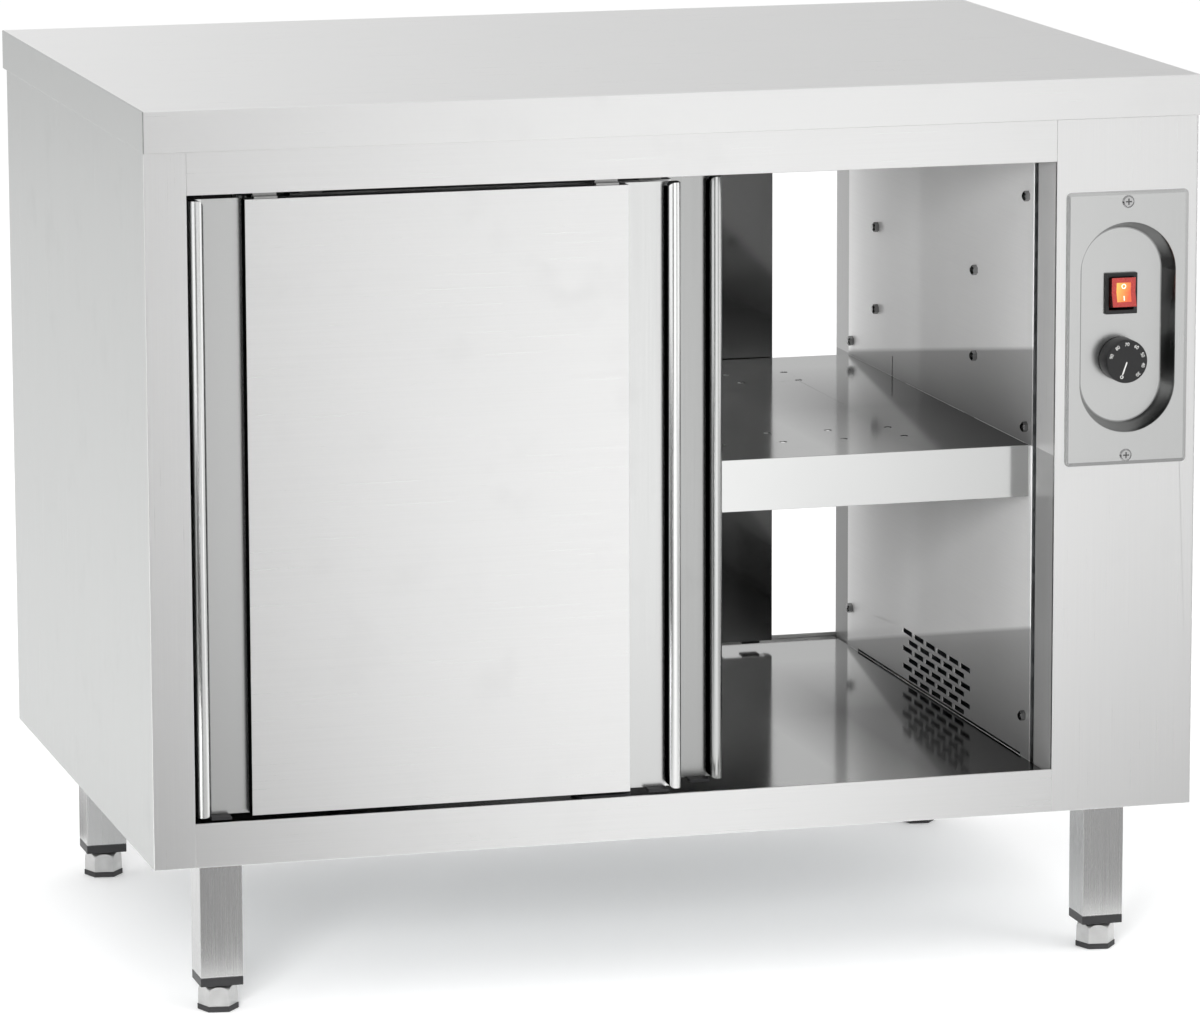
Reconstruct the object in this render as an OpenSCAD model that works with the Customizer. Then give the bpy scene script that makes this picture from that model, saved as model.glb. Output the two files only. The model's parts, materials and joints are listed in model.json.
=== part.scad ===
// Plate warmer cabinet: a stainless cabinet with two pairs of sliding doors, a shelf, a heated
// column on the right and four levelling feet. X runs to the right, Y to the back and Z up.
// The origin is on the floor, below the middle of the worktop.

/* [Worktop] */
// Width of the worktop
worktop_w = 1000; // [900:10:1300]
// Depth of the worktop
worktop_d = 700; // [660:10:800]
// Height of the folded edge
worktop_h = 38; // [34:1:50]
// Sheet thickness of the worktop
worktop_sheet = 1.5; // [1:0.1:2]
// Width of the lip folded in under the edge
worktop_lip = 12; // [8:1:14]
// Thickness of the core board under the sheet
core_t = 18; // [12:1:20]
// How far the worktop stands out past the back
rear_overhang = 16; // [16:1:30]

/* [Cabinet] */
// Height of the cabinet body, from the bottom pan to the worktop
body_h = 654; // [620:2:800]
// Sheet thickness of the panels
skin = 1; // [0.8:0.1:1.2]
// Width of the left corner post
post_w = 38.5; // [34:0.5:50]
// Width of the control column
column_w = 138.7; // [136:0.1:170]
// Height of the top rails
top_rail_h = 39; // [38:1:50]
// Height of the cabinet floor above the bottom pan
floor_rise = 36; // [30:1:50]
// Height of the shelf above the cabinet floor
shelf_rise = 303; // [250:1:320]
// Height of the shelf's front and rear lips
shelf_lip = 49; // [30:1:60]

/* [Doors] */
// Depth of a door from its back sheet to its raised face
door_t = 15; // [14:0.5:16]
// Distance between the two tracks of a pair
track_pitch = 29; // [28:0.5:32]
// How far the two doors of a pair overlap when closed
door_overlap = 100; // [60:1:120]
// Width of the folded grip on each edge of a door
grip_w = 13; // [12:1:16]
// Width of the flat strip between a grip and the raised panel
strip_w = 37; // [30:1:45]
// Distance between the two hangers of a door
hanger_pitch = 317.5; // [240:0.5:320]
// Diameter of a door roller
roller_d = 20; // [18:0.5:21]
// How far the front inner door stands open
front_open = 48; // [0:1:120]
// How far the rear inner door stands open
rear_open = 277.5; // [0:0.5:280]

/* [Legs] */
// Outer width of a leg tube
leg_w = 40; // [36:1:45]
// Length of a leg tube
leg_len = 112.6; // [90:0.1:200]
// Height of a levelling foot, without its stem
foot_h = 25.2; // [22:0.1:30]
// Width across the flats of a levelling foot
foot_w = 33; // [28:1:36]
// How far a levelling foot can be screwed out
foot_travel = 45; // [20:1:45]

/* [Controls] */
// Width of the control plate
plate_w = 120; // [114:1:122]
// Height of the control plate
plate_h = 257.5; // [250:0.5:280]
// Height of the control plate's middle above the bottom pan
plate_rise = 456.8; // [420:0.1:460]
// Width of the recess in the control plate
recess_w = 94; // [90:1:95]
// Height of the recess in the control plate
recess_h = 198; // [190:1:200]
// Depth of the recess
recess_depth = 20; // [16:0.5:22]
// Diameter of the thermostat knob
knob_d = 41; // [32:1:44]
// Angle between the two positions of the switch rocker
rocker_throw = 14; // [8:1:14]

/* [Hidden] */
$fn = 48;
eps = 0.01;
run_play = 0.05;            // radial play of a shaft in its hole
part_gap = 0.3;             // gap between pieces that move past each other

// Levels
flange_h = 7.9;             // flange of the plastic insert below a leg tube
leg_plate_t = 4;
leg_z = foot_h + part_gap + flange_h;
base_z = leg_z + leg_len + leg_plate_t;
top_z = base_z + body_h;
pan_t = 1.2;
pan_top = base_z + pan_t;
under_top = top_z - skin;
floor_top = base_z + floor_rise;
shelf_top = floor_top + shelf_rise;
rail_z = top_z - top_rail_h;
hem_h = 4;                  // hem along the top of a bottom rail
hem_t = 2.5;

// Hat sections under the worktop and under the floor, at shares of the worktop's width
hat_t = 1.2;
stiffener_shares = [-0.3, -0.05, 0.2];
stiffener_form = [60, 18];
bearer_shares = [-0.34, -0.05, 0.24];
bearer_form = [50, 15];
bearer_inset = 20;

// Outlines in plan
half_w = worktop_w / 2;
half_d = worktop_d / 2;
body_inset = 1;             // side panels stand back from the worktop's ends
front_inset = 3;            // front plane stands back from the worktop's front edge
body_x = half_w - body_inset;
front_y = front_inset - half_d;
rear_y = half_d - rear_overhang;
post_x = post_w - body_x;
column_x = body_x - column_w;
liner_x = column_x - 2.3;   // heated wall of the compartment
liner_front = front_y + 58;
liner_rear = rear_y - 49;
side_flange = 50;
foot_flange = 12;
post_return = 14;

// Door tracks, measured in from the front or rear plane
lane_back = 17;             // back sheet of the outer door
hang_y = lane_back - door_t / 2;
web_t = 1.5;
web_y = hang_y - 8.5;
ledge_t = 2;
ledge_gap = 2;              // from the ledge's edge to the hanger's middle
ledge_z = rail_z + 2;
track_plate_t = 2;
rail_flange = 60;
roller_r = roller_d / 2;
roller_t = 4.8;
roller_y = 1.5;             // from the hanger's middle to the roller
axle_r = 2.5;
roller_z = ledge_z + ledge_t + part_gap + roller_r;

// Doors
door_gap = 3.5;
door_z = floor_top + 8.3;
door_top = rail_z - 5.7;
door_h = door_top - door_z;
door_left = post_x + door_gap;
door_w = (column_x - door_gap - door_left + door_overlap) / 2;
front_inner_x = door_left + front_open;
rear_inner_x = door_left + rear_open;
panel_x = grip_w + strip_w;
raise = door_t - skin;
grip_r = 5.5;
grip_end_r = 7;
hanger_w = 21.5;
hanger_t = 2;
hanger_foot = 12;
hanger_rise = 26.7;

// Control column
plate_x = column_x + 9.7 + plate_w / 2;
plate_z = base_z + plate_rise;
plate_t = 1.5;
plate_bevel = 3.5;
plate_corner_r = 5;
plate_y = front_y - plate_t;
recess_x = plate_x + 0.7;
recess_z = plate_z + 0.6;
recess_draft = 7;           // how much narrower the recess is at its floor, on each side
recess_wall = 1.5;
recess_floor_y = plate_y + recess_depth;
recess_back_y = recess_floor_y + recess_wall;
screw_insets = [9.9, 8.9];   // upper and lower screw, in from the plate's ends
screw_offsets = [plate_h / 2 - screw_insets.x, screw_insets.y - plate_h / 2];
screw_r = 2;
screw_head_r = 6;
column_cut_gap = 3;         // between the recess and the hole for it in the column
column_returns = [52, 43];  // depth of the column's folds beside the doorways, front and rear

// Switch, measured from the middle of its bezel
switch_pos = [plate_x + 0.3, plate_z + 30.2];
bezel_size = [31.5, 38.5];
bezel_t = 3.5;
housing_size = [26.6, 33.6];
housing_depth = 30;
pocket_size = [24.2, 30.8];
pocket_depth = 20;
rocker_w = 23.4;
pivot_r = 1.5;
pivot_in = 10;              // rocker pivot, behind the bezel's face
pivot_y = recess_floor_y - bezel_t + pivot_in;
blade_size = [6.3, 8, 0.8];

// Thermostat
knob_pos = [plate_x + 0.2, plate_z - 31.6];
knob_len = 20;
knob_face_y = plate_y - 1.2;
shaft_r = 3;
knob_bore = 14;
stat_size = [38, 34, 36];
stat_bore = 20;

// Column inside
upright_w = 20;
upright_d = 28;
upright_wall = 1.5;
upright_ys = [front_y + 73, rear_y - 63];
wall_bolt_zs = [floor_top + 41, shelf_top + 16, rail_z - 41];
wall_bolt_r = 2.5;
duct_y = 33;
duct_w = 298;
duct_front = duct_y - duct_w / 2;
duct_rear = duct_y + duct_w / 2;
duct_flange = 13;
duct_x = liner_x + skin;
duct_out = 91;
duct_z = floor_top + 2;
duct_top = base_z + 500;
duct_bolt_zs = [base_z + 399.7, base_z + 483];
vent_size = [30.5, 5];
vent_pitch = [36.5, 9];
vent_rows = 6;
vent_y = 101;
vent_z = floor_top + 53.7;
floor_slot_ends = [24, 35];
floor_slot_h = 2.5;
sensor_slot = [4, 23.4];
sensor_slot_y = 138;
sensor_slot_drop = 3.4;
fan_pos = [duct_y, base_z + 440];
fan_r = 55;
fan_x = duct_x + 26;
fan_w = 40;
motor_r = 31;
motor_len = 40;
motor_shaft_in = 25;
fan_hole_r = 10;
heater_r = 4;
heater_bend = 60;
heater_x = duct_x + 40;
heater_z = base_z + 180;
heater_len = 130;
gland_x = column_x + 70;
gland_z = base_z + 50;
gland_r = 8;

// Legs
leg_wall = 1.5;
leg_insets = [71.5, 64, 67.5]; // leg middles, in from the worktop's end, the front and the rear
leg_x = half_w - leg_insets[0];
leg_ys = [front_y + leg_insets[1], rear_y - leg_insets[2]];
leg_plate_w = 80;
spigot_h = 25;
stem_r = 5;
stem_grip = 16.6;           // stem left in the insert when the foot is screwed right out
stem_top = leg_z + foot_travel + stem_grip;
foot_base_t = 5;
foot_turn = -9;

// A piece of the front or rear, drawn with Y running in from the outer plane
module at_side(rear) {
    if (rear) translate([0, rear_y, 0]) mirror([0, 1, 0]) children();
    else translate([0, front_y, 0]) children();
}

module both_sides() {
    at_side(false) children();
    at_side(true) children();
}

// A box between two corners
module block(low, high) {
    translate(low) cube(high - low);
}

// A cylinder along X, and one along Y, that starts at a point
module rod_x(pos, r, len) {
    translate(pos) rotate([0, 90, 0]) cylinder(r = r, h = len);
}

module rod_y(pos, r, len) {
    translate(pos) rotate([-90, 0, 0]) cylinder(r = r, h = len);
}

// A hat section along Y that stands on its two feet; form holds the widths of its crown and feet
module hat_section(x, y0, y1, z, h, form) {
    t = hat_t;
    crown = form.x;
    foot = form.y;
    half = crown / 2;
    translate([x, y1, z]) rotate([90, 0, 0]) linear_extrude(y1 - y0) {
        translate([-half, h - t]) square([crown, t]);
        for (side = [-1, 1]) {
            translate([side * (half - t / 2) - t / 2, 0]) square([t, h]);
            translate([side < 0 ? -half - foot : half - t, 0]) square([foot + t, t]);
        }
    }
}

// Worktop
module worktop() {
    lip = worktop_lip;
    sheet = worktop_sheet;
    color([0.86, 0.87, 0.87]) difference() {
        block([-half_w, -half_d, top_z], [half_w, half_d, top_z + worktop_h]);
        block([sheet - half_w, sheet - half_d, top_z + sheet],
            [half_w - sheet, half_d - sheet, top_z + worktop_h - sheet]);
        block([lip - half_w, lip - half_d, top_z - 1], [half_w - lip, half_d - lip, top_z + 2 * sheet]);
    }
}

module worktop_core() {
    inset = worktop_sheet;
    core_top = top_z + worktop_h - worktop_sheet;
    color([0.62, 0.5, 0.34])
        block([inset - half_w, inset - half_d, core_top - core_t], [half_w - inset, half_d - inset, core_top]);
}

module worktop_stiffeners() {
    reach = half_d - worktop_lip;
    h = worktop_h - worktop_sheet - core_t;
    color([0.6, 0.61, 0.62]) for (share = stiffener_shares)
        hat_section(share * worktop_w, -reach, reach, top_z, h, stiffener_form);
}

// Side panels and liners
module side_left() {
    color([0.74, 0.75, 0.76]) {
        block([-body_x, front_y, base_z - skin], [skin - body_x, rear_y, top_z]);
        block([skin - body_x, front_y, base_z - skin], [foot_flange - body_x, rear_y, base_z]);
        block([skin - body_x, front_y + skin, under_top], [post_x, rear_y - skin, top_z]);
        both_sides() {
            block([skin - body_x, 0, base_z - skin], [post_x, skin, top_z]);
            block([post_x - skin, skin, pan_top], [post_x, post_return, under_top]);
        }
    }
}

module liner_left() {
    y0 = front_y + post_return;
    y1 = rear_y - post_return;
    color([0.72, 0.73, 0.74]) {
        block([post_x - skin, y0, pan_top], [post_x, y1, under_top]);
        block([post_x - foot_flange, y0, pan_top], [post_x - skin, y1, pan_top + skin]);
        block([post_x - foot_flange, y0, under_top - skin], [post_x - skin, y1, under_top]);
    }
}

module side_right() {
    color([0.74, 0.75, 0.76]) {
        block([body_x - skin, front_y, base_z - skin], [body_x, rear_y, top_z]);
        block([body_x - foot_flange, front_y + skin, base_z - skin], [body_x - skin, rear_y - skin, base_z]);
        block([body_x - side_flange, front_y + skin, under_top], [body_x - skin, rear_y - skin, top_z]);
    }
}

// Face of the column with its folded edges; Y runs in from the outer plane
module column_shell(return_depth) {
    x1 = body_x - skin;
    block([column_x, 0, base_z - skin], [x1, skin, top_z]);
    block([column_x, skin, pan_top], [column_x + skin, return_depth, under_top]);
    block([x1 - skin, skin, pan_top], [x1, foot_flange, under_top]);
    block([column_x, skin, base_z - skin], [x1 - foot_flange, foot_flange, base_z]);
}

module stadium_cut(x, z, r, straight, y, depth) {
    for (side = [-1, 1]) rod_y([x, y, z + side * straight / 2], r, depth);
    block([x - r, y, z - straight / 2], [x + r, y + depth, z + straight / 2]);
}

module column_front() {
    cut_r = recess_w / 2 + column_cut_gap;
    color([0.8, 0.8, 0.81]) difference() {
        at_side(false) column_shell(column_returns[0]);
        stadium_cut(recess_x, recess_z, cut_r, recess_h - recess_w, front_y - 1, 3);
        for (offset = screw_offsets)
            rod_y([plate_x, front_y - 1, plate_z + offset], screw_r + part_gap, 4);
    }
}

module column_rear() {
    color([0.78, 0.78, 0.79]) difference() {
        at_side(true) column_shell(column_returns[1]);
        rod_y([gland_x, rear_y - 4, gland_z], gland_r + part_gap, 8);
    }
}

module column_uprights() {
    x0 = liner_x + skin;
    wall = upright_wall;
    color([0.6, 0.61, 0.62]) for (y = upright_ys) difference() {
        block([x0, y - upright_d / 2, pan_top], [x0 + upright_w, y + upright_d / 2, under_top]);
        block([x0 + wall, y - upright_d / 2 + wall, pan_top - 1],
            [x0 + upright_w - wall, y + upright_d / 2 - wall, under_top + 1]);
        for (z = wall_bolt_zs) rod_x([x0 - 1, y, z], wall_bolt_r + part_gap, upright_w + 2);
    }
}

module vent_slots() {
    for (row = [0 : vent_rows - 1]) {
        odd = row % 2;
        for (i = [0 : 5 - odd])
            translate([liner_x - 1, vent_y - vent_size.x - (i + odd * 0.5) * vent_pitch.x,
                vent_z - vent_size.y - row * vent_pitch.y]) cube([skin + 2, vent_size.x, vent_size.y]);
    }
}

module duct_bolt_holes() {
    for (y = [duct_front - duct_flange / 2, duct_rear + duct_flange / 2], z = duct_bolt_zs)
        rod_x([liner_x - 1, y, z], wall_bolt_r + part_gap, 4);
}

module liner_right() {
    fold = 15;
    x1 = liner_x + skin;
    color([0.72, 0.73, 0.74]) {
        difference() {
            block([liner_x, liner_front, pan_top], [x1, liner_rear, under_top]);
            vent_slots();
            duct_bolt_holes();
            for (y = upright_ys, z = wall_bolt_zs)
                rod_x([liner_x - 1, y, z], wall_bolt_r + part_gap, 4);
            // slot along the floor, and the slot that the sensor looks through
            block([liner_x - 1, liner_front + floor_slot_ends.x, floor_top],
                [x1 + 1, liner_rear - floor_slot_ends.y, floor_top + floor_slot_h]);
            block([liner_x - 1, sensor_slot_y, shelf_top - sensor_slot_drop],
                [x1 + 1, sensor_slot_y + sensor_slot[0], shelf_top - sensor_slot_drop + sensor_slot[1]]);
        }
        block([x1, upright_ys[0] + upright_d / 2, pan_top],
            [x1 + fold, upright_ys[1] - upright_d / 2, pan_top + skin]);
        block([x1, upright_ys[0] + upright_d / 2, under_top - skin],
            [x1 + fold, upright_ys[1] - upright_d / 2, under_top]);
    }
}

// Domed hex bolt through the heated wall, with its nut behind a stack of the given thickness
module wall_bolt(y, z, grip) {
    head_h = 6;
    head_r = 5;
    nut_h = 4;
    nut_r = 4.6;
    tail = grip + nut_h + 1;
    translate([liner_x, y, z]) rotate([0, -90, 0]) {
        intersection() {
            cylinder(r = head_r, h = head_h, $fn = 6);
            sphere(r = head_h + 0.5);
        }
        translate([0, 0, -tail]) cylinder(r = wall_bolt_r, h = tail + eps);
        translate([0, 0, -grip - nut_h]) cylinder(r = nut_r, h = nut_h, $fn = 6);
    }
}

module wall_bolts() {
    color([0.7, 0.71, 0.72]) {
        for (y = upright_ys, z = wall_bolt_zs) wall_bolt(y, z, skin + upright_w);
        for (y = [duct_front - duct_flange / 2, duct_rear + duct_flange / 2], z = duct_bolt_zs)
            wall_bolt(y, z, 2 * skin);
    }
}

// Rails, floor and ceiling
module top_rails() {
    color([0.82, 0.83, 0.83]) both_sides() {
        block([post_x, 0, rail_z], [column_x, skin, top_z]);
        block([post_x, skin, under_top], [liner_x, rail_flange, top_z]);
    }
}

module bottom_rails() {
    hem_z = floor_top + hem_h;
    color([0.82, 0.83, 0.83]) both_sides() {
        block([post_x, 0, base_z - skin], [column_x, skin, hem_z]);
        block([post_x, skin, floor_top], [column_x, hem_t, hem_z]);
        block([post_x, skin, base_z - skin], [column_x, foot_flange, base_z]);
    }
}

module cabinet_floor() {
    z = floor_top - skin;
    color([0.7, 0.71, 0.72]) {
        block([post_x, front_y + skin, z], [liner_x, rear_y - skin, floor_top]);
        both_sides() block([post_x, skin, z - foot_flange], [liner_x, 2 * skin, z]);
        block([post_x, front_y + 2 * skin, z - foot_flange], [post_x + skin, rear_y - 2 * skin, z]);
        block([liner_x - skin, front_y + 2 * skin, z - foot_flange], [liner_x, rear_y - 2 * skin, z]);
    }
}

module floor_bearers() {
    color([0.6, 0.61, 0.62]) for (share = bearer_shares)
        hat_section(share * worktop_w, front_y + bearer_inset, rear_y - bearer_inset, pan_top,
            floor_rise - pan_t - skin, bearer_form);
}

module bottom_pan() {
    color([0.6, 0.61, 0.62])
        block([skin - body_x, front_y + skin, base_z], [body_x - skin, rear_y - skin, pan_top]);
}

module ceiling_panel() {
    overlaps = [3, 6];      // over the flanges of the front and rear rail
    recess = 6;
    y0 = front_y + rail_flange - overlaps[0];
    y1 = rear_y - rail_flange + overlaps[1];
    z = rail_z + recess;
    color([0.7, 0.71, 0.72]) {
        block([post_x, y0, z], [liner_x, y1, z + skin]);
        block([post_x, y0, z + skin], [liner_x, y0 + skin, under_top]);
        block([post_x, y1 - skin, z + skin], [liner_x, y1, under_top]);
    }
}

// Track of one door: a web with a ledge that the rollers run on
module track(lane) {
    y = web_y + lane * track_pitch;
    block([post_x, y, ledge_z], [column_x, y + web_t, under_top - track_plate_t]);
    block([post_x, y + web_t, ledge_z], [column_x, hang_y - ledge_gap + lane * track_pitch, ledge_z + ledge_t]);
}

module door_tracks() {
    plate_lead = 14;
    plate_end = web_y + track_pitch + plate_lead;
    color([0.66, 0.67, 0.68]) both_sides() {
        block([post_x, web_y, under_top - track_plate_t], [column_x, plate_end, under_top]);
        for (lane = [0, 1]) track(lane);
    }
}

// Floor guide that keeps the two doors of a pair apart
module door_guides() {
    guide_x = -71.5;
    guide_w = 47;
    base_h = 4.8;
    base_lead = 10;
    fin_h = 19;
    fin_t = 1.4;
    fin_inset = 4;
    play = 0.6;
    inner_back = lane_back + track_pitch;
    x0 = guide_x - guide_w / 2;
    x1 = guide_x + guide_w / 2;
    color([0.12, 0.12, 0.12]) both_sides() {
        block([x0, lane_back - base_lead, floor_top], [x1, inner_back + play + fin_t, floor_top + base_h]);
        block([x0 + fin_inset, lane_back + play, floor_top + base_h],
            [x1 - fin_inset, inner_back - door_t - play, floor_top + fin_h]);
        block([x0 + fin_inset, inner_back + play, floor_top + base_h],
            [x1 - fin_inset, inner_back + play + fin_t, floor_top + fin_h]);
    }
}

module shelf() {
    y0 = front_y + 63;
    y1 = rear_y - 50;
    z = shelf_top - skin;
    edge_x = liner_x - 0.7;
    hole_r = 3.5;
    hole_pitch = 60;
    hole_x = liner_x - 97.5;
    hole_margin = 50;
    hole_ys = [-201, -150.5, 141, 192];
    hole_count = floor((hole_x - post_x - hole_margin) / hole_pitch);
    side_lip = 20;
    tab_spans = [[y0, y0 + 15], [-119, -89], [95, y1]];
    color([0.76, 0.77, 0.78]) difference() {
        union() {
            block([post_x, y0, z], [edge_x, y1, shelf_top]);
            block([post_x, y0, shelf_top - shelf_lip], [edge_x, y0 + skin, z]);
            block([post_x, y1 - skin, shelf_top - shelf_lip], [edge_x, y1, z]);
            block([post_x, y0 + skin, z - side_lip], [post_x + skin, y1 - skin, z]);
            block([edge_x - skin, y0 + skin, z - side_lip], [edge_x, y1 - skin, z]);
            for (span = tab_spans)
                block([edge_x, span[0], z], [liner_x, span[1], shelf_top]);
        }
        for (i = [0 : hole_count], y = hole_ys)
            translate([hole_x - i * hole_pitch, y, z - 1]) cylinder(r = hole_r, h = skin + 2);
    }
}

// Recess: two truncated cones and the straight wedge between them
module recess_form(grow, depth) {
    r0 = recess_w / 2 + grow;
    r1 = r0 - recess_draft * depth / recess_depth;
    straight = recess_h - recess_w;
    translate([recess_x, plate_y, recess_z]) {
        for (side = [-1, 1]) translate([0, 0, side * straight / 2])
            rotate([-90, 0, 0]) cylinder(r1 = r0, r2 = r1, h = depth);
        translate([0, 0, -straight / 2]) linear_extrude(straight)
            polygon([[-r0, 0], [r0, 0], [r1, depth], [-r1, depth]]);
    }
}

// Wedge that bevels one edge of the control plate
module bevel_wedge(len) {
    rotate([0, 90, 0]) translate([0, 0, -len / 2]) linear_extrude(len)
        polygon([[-eps, -1], [plate_bevel, -1], [plate_bevel, 0], [0, plate_t - 0.5], [-eps, plate_t]]);
}

module plate_blank() {
    r = plate_corner_r;
    difference() {
        translate([plate_x, front_y, plate_z]) rotate([90, 0, 0]) linear_extrude(plate_t) {
            square([plate_w - 2 * r, plate_h], center = true);
            square([plate_w, plate_h - 2 * r], center = true);
            for (x = [-1, 1], z = [-1, 1])
                translate([x * (plate_w / 2 - r), z * (plate_h / 2 - r)]) circle(r = r);
        }
        for (turn = [0, 180]) translate([plate_x, plate_y, plate_z]) rotate([0, turn, 0]) {
            translate([0, 0, plate_h / 2]) bevel_wedge(plate_w + 2);
            rotate([0, 90, 0]) translate([0, 0, plate_w / 2]) bevel_wedge(plate_h + 2);
        }
    }
}

module control_plate() {
    color([0.8, 0.81, 0.82]) difference() {
        union() {
            plate_blank();
            difference() {
                recess_form(recess_wall, recess_depth + recess_wall);
                translate([0, -1, 0]) block([plate_x - plate_w, plate_y, plate_z - plate_h],
                    [plate_x + plate_w, plate_y + 1, plate_z + plate_h]);
            }
        }
        recess_form(0, recess_depth);
        translate([switch_pos.x, recess_floor_y, switch_pos.y])
            cube([housing_size.x + 0.4, 10, housing_size.y + 0.4], center = true);
        rod_y([knob_pos.x, recess_floor_y - 1, knob_pos.y], shaft_r + 1, 5);
        for (offset = screw_offsets)
            rod_y([plate_x, plate_y - 1, plate_z + offset], screw_r + part_gap, 4);
    }
}

module plate_screws() {
    cone_in = 1.6;
    shank = 12;
    nut_r = 3.6;
    nut_h = 3;
    slot = [6, 1.2, 1.6];
    color([0.78, 0.79, 0.8]) for (offset = screw_offsets) translate([plate_x, plate_y, plate_z + offset])
        rotate([90, 0, 0]) difference() {
            union() {
                cylinder(r1 = screw_head_r, r2 = screw_head_r - cone_in, h = plate_t);
                translate([0, 0, -shank]) cylinder(r = screw_r, h = shank + eps);
                translate([0, 0, -plate_t - skin - nut_h]) cylinder(r = nut_r, h = nut_h, $fn = 6);
            }
            for (turn = [0, 90]) rotate([0, 0, turn])
                translate([0, 0, plate_t]) cube(slot, center = true);
        }
}

// Rocker switch
module switch_housing() {
    blade_zs = [-10, 0, 10];
    color([0.16, 0.16, 0.17]) translate([switch_pos.x, recess_floor_y, switch_pos.y]) difference() {
        union() {
            translate([0, -bezel_t / 2, 0]) cube([bezel_size.x, bezel_t, bezel_size.y], center = true);
            translate([0, housing_depth / 2, 0])
                cube([housing_size.x, housing_depth, housing_size.y], center = true);
            for (z = blade_zs) translate([0, housing_depth + blade_size.y / 2, z])
                cube([blade_size.x, blade_size.y, blade_size.z], center = true);
        }
        translate([0, pocket_depth / 2 - bezel_t, 0])
            cube([pocket_size.x, pocket_depth, pocket_size.y], center = true);
        rod_x([-housing_size.x / 2 - 1, pivot_in - bezel_t, 0], pivot_r + run_play, housing_size.x + 2);
    }
}

module switch_rocker() {
    deep = 4;
    waist = 14.2;
    proud = 18;
    dish = 15.5;
    tip = 13.6;
    color([0.75, 0.1, 0.08]) translate([switch_pos.x, pivot_y, switch_pos.y])
        rotate([-rocker_throw / 2, 0, 0]) {
            translate([-rocker_w / 2, 0, 0]) rotate([90, 0, 90]) linear_extrude(rocker_w)
                polygon([[deep, -waist], [0, -waist - 0.3], [-pivot_in, -tip - 0.3], [-proud, -tip],
                    [-dish, 0], [-proud, tip], [-pivot_in, tip + 0.3], [0, waist + 0.3], [deep, waist]]);
            rod_x([-pocket_size.x / 2 - 0.9, 0, 0], pivot_r, pocket_size.x + 1.8);
        }
}

// Thermostat and its knob
module thermostat_body() {
    saddle = [26, 6, 8];
    blade_x = 8;
    drop = 8;
    end_y = recess_back_y + stat_size.y + saddle.y / 2;
    color([0.8, 0.78, 0.72]) difference() {
        union() {
            translate([knob_pos.x - stat_size.x / 2, recess_back_y, knob_pos.y - stat_size.z / 2]) cube(stat_size);
            for (x = [-blade_x, blade_x]) translate([knob_pos.x + x, end_y, knob_pos.y - drop])
                cube(blade_size, center = true);
            translate([knob_pos.x, end_y, knob_pos.y - drop]) cube(saddle, center = true);
        }
        rod_y([knob_pos.x, recess_back_y - 1, knob_pos.y], shaft_r + run_play, stat_bore);
    }
}

module thermostat_sensor() {
    tube_r = 1.2;
    bulb_r = 3;
    bulb_len = 80;
    run = 110;
    drop = 90;
    rise = 8;
    y0 = recess_back_y + stat_size.y;
    y1 = y0 + run;
    z = knob_pos.y + rise;
    color([0.72, 0.45, 0.25]) {
        rod_y([knob_pos.x, y0, z], tube_r, y1 - y0);
        translate([knob_pos.x, y1, z]) sphere(r = tube_r);
        translate([knob_pos.x, y1, z - drop]) cylinder(r = tube_r, h = drop);
        translate([knob_pos.x, y1, z - drop - bulb_len]) cylinder(r = bulb_r, h = bulb_len);
    }
}

module knob() {
    r = knob_d / 2;
    hub_r = 7;
    color([0.06, 0.06, 0.06]) translate([knob_pos.x, knob_face_y, knob_pos.y]) rotate([-90, 0, 0])
        difference() {
            rotate_extrude() polygon([[0, 0], [r - 1.6, 0], [r - 0.4, 0.8], [r, 2.4], [r, knob_len],
                [r - 2, knob_len], [r - 2, 6], [hub_r, 6], [hub_r, knob_len], [0, knob_len]]);
            translate([0, 0, knob_len - knob_bore]) cylinder(r = shaft_r, h = knob_bore + 1);
        }
}

module thermostat_shaft() {
    end_gap = 2;
    y0 = knob_face_y + knob_len - knob_bore;
    color([0.7, 0.71, 0.72])
        rod_y([knob_pos.x, y0, knob_pos.y], shaft_r, recess_back_y + stat_bore - end_gap - y0);
}

// Heated column
module air_duct() {
    x1 = duct_x + duct_out;
    color([0.68, 0.69, 0.7]) difference() {
        union() {
            difference() {
                block([duct_x, duct_front, duct_z], [x1, duct_rear, duct_top]);
                block([duct_x - 1, duct_front + skin, duct_z + skin], [x1 - skin, duct_rear - skin, duct_top - skin]);
            }
            block([duct_x, duct_front - duct_flange, duct_z], [duct_x + skin, duct_front, duct_top]);
            block([duct_x, duct_rear, duct_z], [duct_x + skin, duct_rear + duct_flange, duct_top]);
        }
        duct_bolt_holes();
        rod_x([x1 - 3, fan_pos.x, fan_pos.y], fan_hole_r, 6);
        for (side = [-1, 1])
            rod_x([x1 - 3, fan_pos.x + side * heater_bend, heater_z + heater_len], heater_r + part_gap, 6);
    }
}

module fan_motor() {
    bracket = [2, 80, 24];
    bore_len = motor_shaft_in + 5;
    x0 = duct_x + duct_out;
    color([0.3, 0.3, 0.32]) difference() {
        union() {
            rod_x([x0, fan_pos.x, fan_pos.y], motor_r, motor_len);
            translate([x0, fan_pos.x - bracket.y / 2, fan_pos.y - bracket.z / 2]) cube(bracket);
        }
        rod_x([x0 - 1, fan_pos.x, fan_pos.y], shaft_r + run_play, bore_len);
    }
}

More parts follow.
